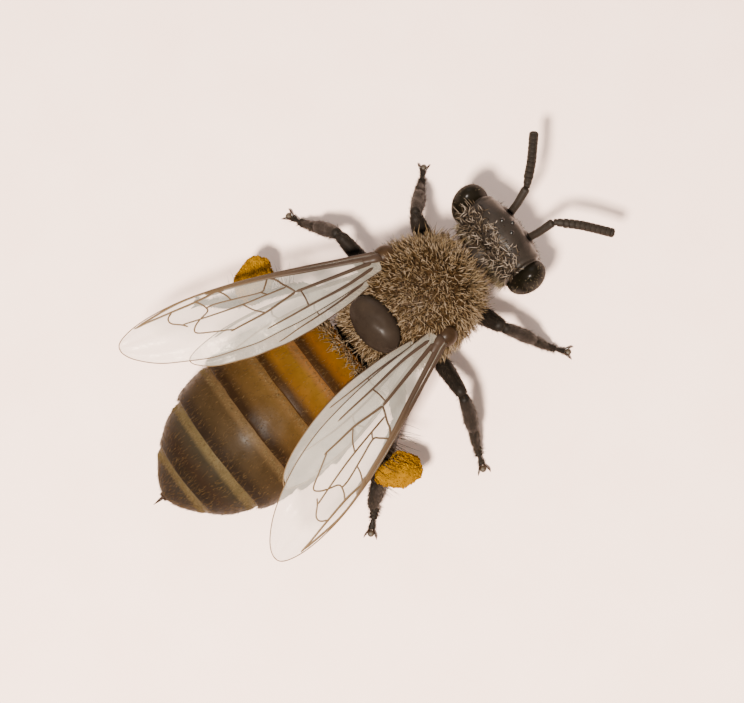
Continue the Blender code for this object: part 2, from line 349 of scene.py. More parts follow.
@dataclass
class Skin:
    """A closed skin over rows of rings. Each ring closes on itself, and a fan closes each end."""

    rings: Array  # rows, points round each, 3
    values: dict[str, Array] = field(default_factory=dict)  # rows, points round each

    def surface(self) -> Surface:
        """The skin as triangles that face outward.

        Returns:
            The surface.
        """
        count = self.rings[..., 0].size
        here = np.arange(count).reshape(self.rings.shape[:2])
        beside = np.roll(here, -1, axis=1)
        first, last = np.full_like(here[0], count), np.full_like(here[0], count + 1)
        faces = (
            (here[:-1], beside[:-1], beside[1:]), (here[:-1], beside[1:], here[1:]),
            (first, beside[0], here[0]), (last, here[-1], beside[-1]),
        )
        triangles = np.concatenate([np.stack(three, -1).reshape(-1, 3) for three in faces])
        ends = np.array([self.rings[0].mean(axis=0), self.rings[-1].mean(axis=0)])
        points = np.vstack([self.rings.reshape(-1, 3), ends])
        values = {}
        for name, numbers in self.values.items():
            values[name] = np.concatenate([numbers.ravel(), [numbers[0].mean(), numbers[-1].mean()]])
        if self._inside_out(points, triangles):
            triangles = triangles[:, ::-1]
        return Surface(points, triangles, values)

    @staticmethod
    def _inside_out(points: Array, triangles: Array) -> bool:
        """Whether the closed triangles hold a negative volume."""
        a, b, c = (points[triangles[:, k]] for k in range(3))
        return float(np.einsum("ij,ij->i", a, np.cross(b, c)).sum()) < 0

    def normals(self) -> Array:
        """Work out which way the skin faces.

        Returns:
            Outward normals at the rings' points.
        """
        around = np.roll(self.rings, -1, axis=1) - np.roll(self.rings, 1, axis=1)
        along = np.gradient(self.rings, axis=0)
        normal = unit(np.cross(around, along))
        outward = self.rings - self.rings.mean(axis=1, keepdims=True)
        flip = np.sign(np.sum(normal * outward))
        return normal * (flip if flip else 1)

    def pushed(self, height: Array) -> "Skin":
        """The skin moved out along its normals by a height at each point."""
        return Skin(self.rings + self.normals() * height[..., None], self.values)

    def roots(self, count: int, tile: Tile = Tile(),
              density: Callable[[Array, Array], Array] | None = None) -> Roots:
        """Places for hairs, spread evenly over the skin.

        Args:
            count: how many places to try.
            tile: where the skin lies on the coat's bake map.
            density: the share of hairs to keep, worked out from places on the skin and its normals.

        Returns:
            The roots that are kept.
        """
        rows, cols, _ = self.rings.shape
        wrapped = np.concatenate([self.rings, self.rings[:, :1]], axis=1)
        normals = self.normals()
        normals = np.concatenate([normals, normals[:, :1]], axis=1)
        across = wrapped[:-1, 1:] - wrapped[:-1, :-1]
        along = wrapped[1:, :-1] - wrapped[:-1, :-1]
        area = np.linalg.norm(np.cross(across, along), axis=2).ravel()
        cell = RANDOM.choice(len(area), size=count, p=area / area.sum())
        i, j = cell // cols, cell % cols
        a, b = RANDOM.random(count), RANDOM.random(count)
        wa, wb = a[:, None], b[:, None]

        def blend(grid: Array) -> Array:
            """Values of a grid at the places, from those at the corners round each."""
            low, high = (grid[k, j] * (1 - wa) + grid[k, j + 1] * wa for k in (i, i + 1))
            return low * (1 - wb) + high * wb

        places = tile.place((j + a) / cols, (i + b) / (rows - 1))
        roots = Roots(blend(wrapped), unit(blend(normals)), places)
        if density is None:
            return roots
        return roots.kept(RANDOM.random(count) < density(roots.points, roots.normals))


def ball(centre: Array, radii: Sequence[float], rows: int, around: int, turn: Array | None = None) -> Skin:
    """A rounded skin, its poles along its own Z.

    Args:
        centre: its middle, in millimetres.
        radii: half sizes along its own axes.
        rows: rings from pole to pole.
        around: points round each ring.
        turn: a matrix that turns it.

    Returns:
        The skin.
    """
    polar = np.linspace(-math.pi / 2, math.pi / 2, rows + 2)[1:-1, None]
    angle = np.linspace(0, math.tau, around, endpoint=False)[None]
    x = np.cos(polar) * np.cos(angle)
    y = np.cos(polar) * np.sin(angle)
    z = np.sin(polar) * np.ones_like(angle)
    points = np.stack([x, y, z], axis=-1) * np.asarray(radii, float)
    if turn is not None:
        points = points @ turn.T
    return Skin(points + centre)


def sweep(path: Array, widths: Array, depths: Array, face: Sequence[float], around: int) -> Skin:
    """A skin of oval section along a path.

    Args:
        path: points along its middle.
        widths: half the width at each point.
        depths: half the thickness at each point, along the way it faces.
        face: the way its flat side faces.
        around: points round each ring.

    Returns:
        The skin.
    """
    along = unit(np.gradient(path, axis=0))
    across = unit(np.cross(along, np.asarray(face, float)))
    through = np.cross(across, along)
    angle = np.linspace(0, math.tau, around, endpoint=False)
    ring = across[:, None] * (np.asarray(widths)[:, None] * np.cos(angle))[..., None]
    ring = ring + through[:, None] * (np.asarray(depths)[:, None] * np.sin(angle))[..., None]
    return Skin(path[:, None] + ring)


def segment(points: Sequence[Sequence[float]], stations: Sequence[Sequence[float]], face: Sequence[float],
            count: int, around: int, ends: tuple[float, float] = (0.1, 0.1)) -> Skin:
    """One length of a limb, with round ends.

    Args:
        points: places that its middle runs through.
        stations: (share of its length, half width, half thickness) at a few places.
        face: the way its flat side faces.
        count: rings along it.
        around: points round each ring.
        ends: shares of its length that the round ends take.

    Returns:
        The skin.
    """
    even = np.linspace(0, 1, count)
    shares = 0.45 * even + 0.55 * (1 - np.cos(math.pi * even)) / 2
    fine = curve_through(points, 200)
    path = np.stack([np.interp(shares, np.linspace(0, 1, 200), fine[:, k]) for k in range(3)], axis=1)
    table = np.asarray(stations, float)
    start = np.clip(shares / ends[0], 0, 1)
    end = np.clip((1 - shares) / ends[1], 0, 1)
    tips = np.sqrt(np.clip(1 - (1 - start) ** 2, 0.004, 1)) * np.sqrt(np.clip(1 - (1 - end) ** 2, 0.004, 1))
    widths = soft_interp(shares, table[:, 0], table[:, 1]) * tips
    depths = soft_interp(shares, table[:, 0], table[:, 2]) * tips
    return sweep(path, widths, depths, face, around)


def soft_interp(places: Array, knots: Array, heights: Array) -> Array:
    """Heights read between knots, eased at each one so that no ring shows a corner.

    Args:
        places: where to read them.
        knots: places whose heights are known, in order.
        heights: the heights there.

    Returns:
        A height for each place.
    """
    index = np.clip(np.searchsorted(knots, places, side="right") - 1, 0, len(knots) - 2)
    t = np.clip((places - knots[index]) / (knots[index + 1] - knots[index]), 0, 1)
    eased = 0.5 * t + 0.5 * t * t * (3 - 2 * t)
    return heights[index] * (1 - eased) + heights[index + 1] * eased


# --- hair ---


@dataclass(frozen=True)
class Coat:
    """One kind of hair, written as length and radius in millimetres, lift, spread, droop and vary."""

    length: float
    radius: float
    lift: float  # 1 stands straight out of the skin, 0 lies flat on it
    spread: float = 0.25  # how far hairs stray from the common lie
    droop: float = 0.3  # how far a hair bends over towards the lie, as a share of its length
    vary: float = 0.3  # how far lengths differ, as a share
    steps: tuple[float, ...] = (0.0, 0.45, 0.8)  # rings along a hair, as shares of its length
    buried: float = 0.02  # how deep its root sits in the skin

    def grow(self, roots: Roots, lie: Array | Callable[[Array], Array],
             lengths: Array | float = 1.0) -> Surface:
        """Closed three-sided strands at the roots.

        Args:
            roots: where they spring from.
            lie: the way that the coat lies, as one vector or worked out from the roots.
            lengths: a factor on each hair's length.

        Returns:
            The strands, with values along (0 at the root) and tint (one for each hair).
        """
        count = len(roots.points)
        flow = lie(roots.points) if callable(lie) else np.broadcast_to(np.asarray(lie, float), (count, 3))
        flow = unit(flow - roots.normals * np.sum(flow * roots.normals, axis=1, keepdims=True))
        stray = RANDOM.normal(0, self.spread, (count, 3))
        heading = unit(roots.normals * self.lift + flow * (1 - self.lift) + stray)
        below = np.minimum(np.sum(heading * roots.normals, axis=1, keepdims=True) - 0.06, 0)
        heading = unit(heading - roots.normals * below)
        length = self.length * (1 + self.vary * RANDOM.uniform(-1, 1, count)) * lengths
        curl = unit(flow + RANDOM.normal(0, 0.5, (count, 3)))
        aside = unit(np.cross(heading, roots.normals + 0.01))
        upright = np.cross(heading, aside)
        shares = np.array([*self.steps, 1.0])
        reach = length[:, None, None] * shares[None, :, None]
        bow = self.droop * length[:, None, None] * (shares**2)[None, :, None]
        start = roots.points[:, None] - heading[:, None] * self.buried
        middle = start + heading[:, None] * reach + curl[:, None] * bow
        thick = self.radius * (1 - 0.75 * shares[:-1] ** 1.5)
        angle = (np.arange(3) * math.tau / 3)[None, :, None]
        offset = aside[:, None] * np.cos(angle) + upright[:, None] * np.sin(angle)
        rings = middle[:, :-1, None] + offset[:, None] * thick[None, :, None, None]
        each = len(self.steps) * 3 + 1
        points = np.concatenate([rings.reshape(count, -1, 3), middle[:, -1:]], axis=1).reshape(-1, 3)
        pattern = self._pattern()
        triangles = (pattern[None] + (np.arange(count) * each)[:, None, None]).reshape(-1, 3)
        ring_share = np.repeat(shares[:-1], 3)
        along = np.tile(np.concatenate([ring_share, [1.0]]), count)
        tint = np.repeat(RANDOM.random(count), each)
        patch_x = np.concatenate([np.tile(np.array([0.0, 0.5, 1.0]), len(self.steps)), [0.5]])
        patch = np.stack([patch_x, np.concatenate([ring_share, [1.0]])], axis=1) * PATCH
        bake = (roots.places[:, None, None] + patch[pattern][None]).reshape(-1, 3, 2)
        return Surface(points, triangles, {"along": along, "tint": tint}, bake)

    def _pattern(self) -> Array:
        """Triangles of one strand.

        Returns:
            The numbers of their corners.
        """
        faces = [(0, 2, 1)]
        levels = len(self.steps)
        for level in range(levels - 1):
            for k in range(3):
                a, b = level * 3 + k, level * 3 + (k + 1) % 3
                faces += [(a, b, b + 3), (a, b + 3, a + 3)]
        top = (levels - 1) * 3
        faces += [(top + k, top + (k + 1) % 3, levels * 3) for k in range(3)]
        return np.array(faces)


# --- finishes ---


def linear(code: str) -> tuple[float, float, float, float]:
    """Turn a colour into the linear values that shaders take.

    Args:
        code: the colour as an sRGB hex code.

    Returns:
        Red, green, blue and full opacity.
    """
    channels = [int(code.lstrip("#")[k : k + 2], 16) / 255 for k in (0, 2, 4)]
    red, green, blue = (c / 12.92 if c <= 0.04045 else ((c + 0.055) / 1.055) ** 2.4 for c in channels)
    return red, green, blue, 1.0


def feed(node: bpy.types.Node, inputs: dict) -> None:
    """Set the inputs of a node.

    Args:
        node: the node.
        inputs: for an input's name or number, a value or the socket that feeds it.
    """
    for key, value in inputs.items():
        if isinstance(value, Socket):
            node.id_data.links.new(value, node.inputs[key])
        else:
            node.inputs[key].default_value = value


def add_node(tree: Tree, kind: str, inputs: dict | None = None, stops: Sequence[tuple[float, str]] = (),
             **settings: object) -> bpy.types.Node:
    """Add a node with its settings and links.

    Args:
        tree: the node tree.
        kind: the node's type, without the "ShaderNode" that each begins with.
        inputs: for an input's name or number, a value or the socket that feeds it.
        stops: places and hex colours, for a node that has a ramp.
        settings: the node's own properties.

    Returns:
        The node.
    """
    node = tree.nodes.new("ShaderNode" + kind)
    for key, value in settings.items():
        setattr(node, key, value)
    feed(node, inputs or {})
    while stops and len(node.color_ramp.elements) < len(stops):
        node.color_ramp.elements.new(1.0)
    for element, (place, code) in zip(node.color_ramp.elements if stops else (), stops):
        element.position = place
        element.color = linear(code)
    return node


@dataclass(frozen=True)
class Finish:
    """A surface's name, and the values that are the same all over it. Nothing on a bee is metal."""

    name: str
    roughness: float = 0.5
    ior: float = 1.56  # chitin
    mirror: float = 0.25  # how much of its mirror reflection shows, which fine hair and dust cut down

    def start(self) -> tuple[Tree, bpy.types.Node, Socket, bpy.types.Material]:
        """An empty material.

        Returns:
            Its tree, its shader, the place on the bee in millimetres, and the material.
        """
        material = bpy.data.materials.new(self.name)
        material.use_nodes = True
        tree = material.node_tree
        shader = tree.nodes["Principled BSDF"]
        feed(shader, {"Roughness": self.roughness, "IOR": self.ior, "Specular IOR Level": self.mirror})
        where = add_node(tree, "TexCoord").outputs["Object"]
        scaled = add_node(tree, "VectorMath", {0: where, "Scale": 1 / MM}, operation="SCALE")
        return tree, shader, scaled.outputs[0], material


@dataclass(frozen=True)
class Cuticle(Finish):
    """Chitin plate, hardened and tanned by the animal itself.

    It is a smooth natural varnish over fibre: a satin sheen, cloudy in colour, broken by fine hair pits.
    """

    base: str = "#17130F"
    cloud: str = "#231D18"
    cloud_mm: float = 0.5
    pit_mm: float = 0.05  # spacing of the hair pits
    pit_depth_mm: float = 0.003
    wax: float = 0.0  # a thin coat of wax that shines over the plate
    wax_roughness: float = 0.22

    def material(self) -> bpy.types.Material:
        """Make the plate.

        Returns:
            A new material.
        """
        tree, shader, where, material = self.start()
        noise = {"Vector": where, "Scale": 1 / self.cloud_mm, "Detail": 4.0, "Roughness": 0.6}
        clouds = add_node(tree, "TexNoise", noise).outputs["Fac"]
        shade = add_node(tree, "MapRange", {
            "Value": clouds, "From Min": 0.3, "From Max": 0.7,
            "To Min": self.roughness - 0.06, "To Max": self.roughness + 0.1})
        pits = add_node(tree, "TexVoronoi", {"Vector": where, "Scale": 1 / self.pit_mm})
        dents = add_node(tree, "MapRange", {"Value": pits.outputs["Distance"], "From Max": 0.35})
        swell = add_node(tree, "Bump", {"Height": clouds, "Distance": self.pit_depth_mm * 4 * MM})
        pitted = add_node(tree, "Bump", {
            "Height": dents.outputs[0], "Distance": self.pit_depth_mm * MM,
            "Normal": swell.outputs["Normal"]})
        feed(shader, {
            "Base Color": self.tone(tree, clouds), "Roughness": shade.outputs[0],
            "Normal": pitted.outputs["Normal"], "Coat Weight": self.wax,
            "Coat Roughness": self.wax_roughness})
        return material

    def tone(self, tree: Tree, clouds: Socket) -> Socket:
        """The plate's colour, from its cloudiness."""
        ramp = add_node(tree, "ValToRGB", {"Fac": clouds}, [(0.32, self.base), (0.72, self.cloud)])
        return ramp.outputs["Color"]


@dataclass(frozen=True)
class BandedCuticle(Cuticle):
    """A plate of the abdomen: amber where the cuticle is thin and clear, dark towards its hind margin.

    Each plate's "along" runs from 0 at its front to 1 at its hind margin, and "low" from 0 on top to 1 below.
    """

    roughness: float = 0.34
    mirror: float = 0.016
    bands: tuple[str, ...] = ("#4C2B06", "#563907", "#4C2D08", "#221407")  # front, middle, late, hind margin
    belly: str = "#47300F"
    blotches: tuple[str, str] = ("#5F5F5F", "#C8C8C8")  # greys that darken and lighten it in clouds

    def tone(self, tree: Tree, clouds: Socket) -> Socket:
        """The plate's colour: bands along it, softened by its cloudiness, and plainer below.

        Args:
            tree: the material's node tree.
            clouds: its cloudiness.

        Returns:
            The colour.
        """
        along = add_node(tree, "Attribute", attribute_name="along").outputs["Fac"]
        low = add_node(tree, "Attribute", attribute_name="low").outputs["Fac"]
        sway = add_node(tree, "Math", {0: clouds, 1: 0.16, 2: -0.08}, operation="MULTIPLY_ADD")
        place = add_node(tree, "Math", {0: along, 1: sway.outputs[0]}, operation="ADD").outputs[0]
        stops = list(zip((0.03, 0.1, 0.24, 0.62, 0.84), (self.bands[0], *self.bands)))
        bands = add_node(tree, "ValToRGB", {"Fac": place}, stops)
        mix = {"Factor": low, 6: bands.outputs["Color"], 7: linear(self.belly)}
        plain = add_node(tree, "Mix", mix, data_type="RGBA")
        grey = add_node(tree, "ValToRGB", {"Fac": clouds}, list(zip((0.3, 0.7), self.blotches)))
        mix = {"Factor": 0.35, 6: plain.outputs[2], 7: grey.outputs["Color"]}
        return add_node(tree, "Mix", mix, data_type="RGBA", blend_type="OVERLAY").outputs[2]


@dataclass(frozen=True)
class FacetedEye(Finish):
    """A compound eye: thousands of clear six-sided lenses over dark pigment, near black with a soft gloss."""

    roughness: float = 0.34
    mirror: float = 0.0  # the gloss is that of the clear skin over the lenses
    pigment: str = "#0B0905"
    rim: str = "#130F0A"
    cloud_mm: float = 0.625
    facet_mm: float = 0.045  # the real lenses are 0.025 mm across, too fine to show
    facet_depth_mm: float = 0.006
    gloss: float = 0.12
    gloss_roughness: float = 0.28

    def material(self) -> bpy.types.Material:
        """Make the eye's lenses.

        Returns:
            A new material.
        """
        tree, shader, where, material = self.start()
        noise = add_node(tree, "TexNoise", {"Vector": where, "Scale": 1 / self.cloud_mm})
        stops = [(0.35, self.pigment), (0.7, self.rim)]
        ramp = add_node(tree, "ValToRGB", {"Fac": noise.outputs["Fac"]}, stops)
        facets = {"Vector": where, "Scale": 1 / self.facet_mm, "Randomness": 0.55}
        lenses = add_node(tree, "TexVoronoi", facets)
        domes = add_node(tree, "MapRange", {
            "Value": lenses.outputs["Distance"], "From Max": 0.7, "To Min": 1.0, "To Max": 0.0})
        relief = {"Height": domes.outputs[0], "Distance": self.facet_depth_mm * MM}
        feed(shader, {
            "Base Color": ramp.outputs["Color"], "Normal": add_node(tree, "Bump", relief).outputs["Normal"],
            "Coat Weight": self.gloss, "Coat Roughness": self.gloss_roughness})
        return material


@dataclass(frozen=True)
class Membrane(Finish):
    """Wing membrane: two clear films of cuticle pressed together, so it passes light and glints.

    Its micro hairs scatter the light, which gives the eye a milky grey veil.
    """

    mirror: float = 0.3
    tint: str = "#BDB6AB"
    smoke: str = "#8A8478"
    alpha: float = 0.2
    veil_scale: float = 1.1  # swells of the veil to the millimetre
    hair_mm: float = 0.07  # spacing of the micro hairs, which is too fine to show at its real 0.03 mm
    hair_depth_mm: float = 0.004
    ripple_mm: float = 0.45
    ripple_depth_mm: float = 0.05
    film_nm: float = 320.0  # thickness of the film that gives the rainbow glints
    film_ior: float = 1.45

    def material(self) -> bpy.types.Material:
        """Make the wing's film.

        Returns:
            A new material.
        """
        tree, shader, where, material = self.start()
        along = add_node(tree, "Attribute", attribute_name="along").outputs["Fac"]
        veil = add_node(tree, "TexNoise", {"Vector": where, "Scale": self.veil_scale, "Detail": 3.0})
        sway = add_node(tree, "Math", {0: veil.outputs["Fac"], 1: 0.5, 2: along}, operation="MULTIPLY_ADD")
        ramp = add_node(tree, "ValToRGB", {"Fac": sway.outputs[0]}, [(0.25, self.smoke), (0.8, self.tint)])
        hairs = add_node(tree, "TexVoronoi", {"Vector": where, "Scale": 1 / self.hair_mm})
        ripple = add_node(tree, "TexNoise", {"Vector": where, "Scale": 1 / self.ripple_mm})
        soft = add_node(tree, "Bump", {
            "Height": ripple.outputs["Fac"], "Distance": self.ripple_depth_mm * MM})
        fine = add_node(tree, "Bump", {
            "Height": hairs.outputs["Distance"], "Distance": self.hair_depth_mm * MM,
            "Normal": soft.outputs["Normal"]})
        feed(shader, {
            "Base Color": ramp.outputs["Color"], "Alpha": self.alpha, "Normal": fine.outputs["Normal"],
            "Thin Film Thickness": self.film_nm, "Thin Film IOR": self.film_ior})
        return material


@dataclass(frozen=True)
class Vein(Finish):
    """A wing vein: a tube of tanned cuticle, dark brown at the root and clearer towards the wing's edge."""

    roughness: float = 0.42
    mirror: float = 0.08
    root: str = "#2B2018"
    tip: str = "#5E4A32"
    grain_mm: float = 0.06
    grain_depth_mm: float = 0.004

    def material(self) -> bpy.types.Material:
        """Make the vein.

        Returns:
            A new material.
        """
        tree, shader, where, material = self.start()
        along = add_node(tree, "Attribute", attribute_name="along").outputs["Fac"]
        ramp = add_node(tree, "ValToRGB", {"Fac": along}, [(0.25, self.root), (0.95, self.tip)])
        grain = add_node(tree, "TexNoise", {"Vector": where, "Scale": 1 / self.grain_mm, "Detail": 3.0})
        relief = {"Height": grain.outputs["Fac"], "Distance": self.grain_depth_mm * MM}
        normal = add_node(tree, "Bump", relief).outputs["Normal"]
        feed(shader, {"Base Color": ramp.outputs["Color"], "Normal": normal})
        return material


@dataclass(frozen=True)
class BeeHair(Finish):
    """Branched chitin hair: dull, pale at its tip and darker where it leaves the skin.

    Each hair's "tint" is its own number, and "along" runs from 0 at its root to 1 at its tip.
    """

    roughness: float = 0.8
    mirror: float = 0.1
    tones: tuple[str, str, str] = ("#4C3B25", "#6A5840", "#806F5B")  # dull, common and pale hairs
    root: str = "#271A08"
    root_share: float = 0.35

    def material(self) -> bpy.types.Material:
        """Make the hair.

        Returns:
            A new material.
        """
        tree, shader, _, material = self.start()
        tint = add_node(tree, "Attribute", attribute_name="tint").outputs["Fac"]
        along = add_node(tree, "Attribute", attribute_name="along").outputs["Fac"]
        ramp = add_node(tree, "ValToRGB", {"Fac": tint}, list(zip((0.05, 0.5, 0.95), self.tones)))
        rise = add_node(tree, "MapRange", {"Value": along, "From Max": self.root_share * 2})
        mix = {"Factor": rise.outputs[0], 6: linear(self.root), 7: ramp.outputs["Color"]}
        feed(shader, {"Base Color": add_node(tree, "Mix", mix, data_type="RGBA").outputs[2]})
        return material


@dataclass(frozen=True)
class PackedPollen(Finish):
    """Pollen grains damped with nectar and kneaded into a lump: dull and mealy, each grain a little lit."""

    roughness: float = 0.95
    mirror: float = 0.015
    tones: tuple[str, str, str] = ("#503601", "#6C4901", "#7E5802")
    lump_mm: float = 0.35
    grain_mm: float = 0.05  # real grains are about 0.03 mm, too fine to show
    grain_depth_mm: float = 0.015

    def material(self) -> bpy.types.Material:
        """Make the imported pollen.

        Returns:
            A new material.
        """
        tree, shader, where, material = self.start()
        tint = add_node(tree, "Attribute", attribute_name="tint").outputs["Fac"]
        lumps = add_node(tree, "TexNoise", {"Vector": where, "Scale": 1 / self.lump_mm, "Detail": 4.0})
        both = add_node(tree, "Math", {0: tint, 1: 0.5, 2: lumps.outputs["Fac"]}, operation="MULTIPLY_ADD")
        ramp = add_node(tree, "ValToRGB", {"Fac": both.outputs[0]}, list(zip((0.35, 0.65, 0.95), self.tones)))
        grains = add_node(tree, "TexVoronoi", {"Vector": where, "Scale": 1 / self.grain_mm})
        domes = add_node(tree, "MapRange", {
            "Value": grains.outputs["Distance"], "From Max": 0.6, "To Min": 1.0, "To Max": 0.0})
        relief = {"Height": domes.outputs[0], "Distance": self.grain_depth_mm * MM}
        normal = add_node(tree, "Bump", relief).outputs["Normal"]
        feed(shader, {"Base Color": ramp.outputs["Color"], "Normal": normal})
        return material


@dataclass(frozen=True)
class PaperFloor(Finish):
    """A sheet of uncoated studio paper, pressed and dried: pale, warm and dull."""

    roughness: float = 0.9
    mirror: float = 0.3
    tones: tuple[str, str] = ("#FBDBCB", "#FFE1D2")
    fibre_mm: float = 2.5  # clouds in the pulp

    def material(self) -> bpy.types.Material:
        """Make the paper.

        Returns:
            A new material.
        """
        tree, shader, where, material = self.start()
        pulp = add_node(tree, "TexNoise", {"Vector": where, "Scale": 1 / self.fibre_mm, "Detail": 5.0})
        ramp = add_node(tree, "ValToRGB", {"Fac": pulp.outputs["Fac"]}, list(zip((0.3, 0.7), self.tones)))
        feed(shader, {"Base Color": ramp.outputs["Color"]})
        return material


HEAD_SHELL = Cuticle("brown head cuticle", 0.46, mirror=0.1, pit_mm=0.06)
FEELER_SHELL = Cuticle("downy feeler cuticle", mirror=0.1, base="#19140F", cloud="#201A15", cloud_mm=0.3,
                       pit_mm=0.035, pit_depth_mm=0.004)
JAW_SHELL = Cuticle("hard red-brown jaw cuticle", 0.28, base="#1F1209", cloud="#311C0E", cloud_mm=0.35,
                    wax=0.12)
TONGUE_SHELL = Cuticle("soft amber mouthpart cuticle", 0.4, base="#3C2512", cloud="#50351B", cloud_mm=0.3)
THORAX_SHELL = Cuticle("rough thorax cuticle", 0.6, mirror=0.1, base="#221608", cloud="#30200C", pit_mm=0.08,
                       pit_depth_mm=0.008)
POLISHED_SHELL = Cuticle("polished brown cuticle", 0.27, mirror=0.03, base="#1A1410", cloud="#241D17",
                         cloud_mm=0.8, pit_mm=0.14, pit_depth_mm=0.001)
WING_SCALE = Cuticle("polished wing scale cuticle", 0.36, mirror=0.06, base="#1E140C", cloud="#2A1D10")
LEG_SHELL = Cuticle("dark leg cuticle", mirror=0.05, base="#110E0B", cloud="#191410", cloud_mm=0.4)
CLAW_SHELL = Cuticle("horn-hard claw cuticle", 0.25, base="#19100A", cloud="#2C1B0D", cloud_mm=0.1)
PAD_SHELL = Cuticle("soft foot pad cuticle", 0.55, base="#2A221A", cloud="#3F3527", cloud_mm=0.08)
EYE = FacetedEye("faceted compound eye")
OCELLUS = FacetedEye("smooth simple eye", 0.25, mirror=0.2, pigment="#080604", rim="#130D08", facet_mm=4.0)
FOREWING_FILM = Membrane("forewing membrane", 0.3)
HINDWING_FILM = Membrane("hindwing membrane", 0.35)
WING_VEIN = Vein("wing vein cuticle")
TAN_HAIR = BeeHair("tan thorax hair", root_share=0.25)
COLLAR_HAIR = BeeHair("brown-tan ruff hair", tones=("#3F301D", "#5C4B34", "#77664C"), root="#1C1308",
                      root_share=0.3)
CROWN_HAIR = BeeHair("grey-tan crown hair", tones=("#281E13", "#4E4131", "#8D8073"), root="#21160A",
                     root_share=0.25)
UNDER_HAIR = BeeHair("brown undercoat", mirror=0.08, tones=("#271A08", "#33230C", "#412D12"), root="#180F04")
FACE_HAIR = BeeHair("pale face hair", 0.75, tones=("#504430", "#6B5E47", "#867A61"), root="#2B2318")
DOWN_HAIR = BeeHair("short brown down", 0.75, tones=("#1F1A14", "#2D251D", "#3F362A"), root="#14100D")
BAND_HAIR = BeeHair("pale felt of the abdomen bands", mirror=0.08, tones=("#3E331B", "#504127", "#62533A"),
                    root="#3B2D18")
BODY_HAIR = BeeHair("thin hair of the abdomen", 0.7, tones=("#33240F", "#4C381B", "#685130"), root="#25190A")
POLLEN = PackedPollen("packed pollen")
PAPER = PaperFloor("pale studio paper")
PLATES = (
    BandedCuticle("amber cuticle, first plate"),
    BandedCuticle("amber cuticle, second plate", bands=("#52361A", "#4D350E", "#482E0C", "#221508")),
    BandedCuticle("amber cuticle, third plate", bands=("#433018", "#3B2A12", "#31220F", "#1B1108")),
    BandedCuticle("amber-brown cuticle, fourth plate", bands=("#3F301D", "#2B2012", "#281E12", "#1A130D"),
                  belly="#25190D"),
    BandedCuticle("dark cuticle, fifth plate", bands=("#423824", "#231E16", "#1E150E", "#17110B"),
                  belly="#1E150D"),
    BandedCuticle("dark cuticle, sixth plate", bands=("#3F3523", "#201B15", "#1B140E", "#16110D"),
                  belly="#1A140E"),
)


# --- head ---


@dataclass
class Eye:
    """A compound eye: a tall smooth bean at the side of the head. Sizes are in millimetres."""

    side: Side
    lean: float = 0.17  # radians that its top leans outward
    sunk: float = 0.07  # how much deeper than its node it sits in the head
    rows: int = 90
    around: int = 120
    hair_count: int = 420
    hair: Coat = Coat(0.08, 0.004, 0.8, 0.1, 0.1, steps=SHORT)

    def __post_init__(self) -> None:
        """Read its place from the frame."""
        self.node = f"eye_{self.side.word}"
        middle, half = centre_and_half(self.node)
        self.centre = middle - mirror([self.sunk, 0, 0], self.side)
        self.radii = half * np.array([0.93, 1.0, 0.985])
        self.turn = turn_about(BACK, self.lean * self.side.value)

    def skin(self) -> Skin:
        """The eye, with a shallow dent in its inner edge.

        Returns:
            Its skin.
        """
        eye = ball(np.zeros(3), self.radii, self.rows, self.around)
        inward = -self.side.value * eye.rings[..., 0]
        dent = 0.05 * smooth(inward, 0.1, 0.5) * hill(eye.rings[..., 2], 0.15, 0.35)
        rings = eye.rings.copy()
        rings[..., 1] += dent * np.sign(-rings[..., 1]) * 0.5
        rings[..., 0] += self.side.value * dent
        return Skin(rings @ self.turn.T + self.centre)

    def nearness(self, points: Array) -> Array:
        """How far places lie from the eye's middle, where 1 is its surface."""
        local = (points - self.centre) @ self.turn
        return np.linalg.norm(local / self.radii, axis=-1)

    def build(self, tile: Tile) -> Surface:
        """Show the eye.

        Args:
            tile: the eye's part of the head coat's bake map.

        Returns:
            The hairs between its lenses.
        """
        skin = self.skin()
        skin.surface().piece(self.node + "_lens", EYE, "eye", [self.node])
        roots = skin.roots(self.hair_count, tile, lambda p, n: (n[:, 0] * self.side.value > -0.2) * 1.0)
        return self.hair.grow(roots, -UP)


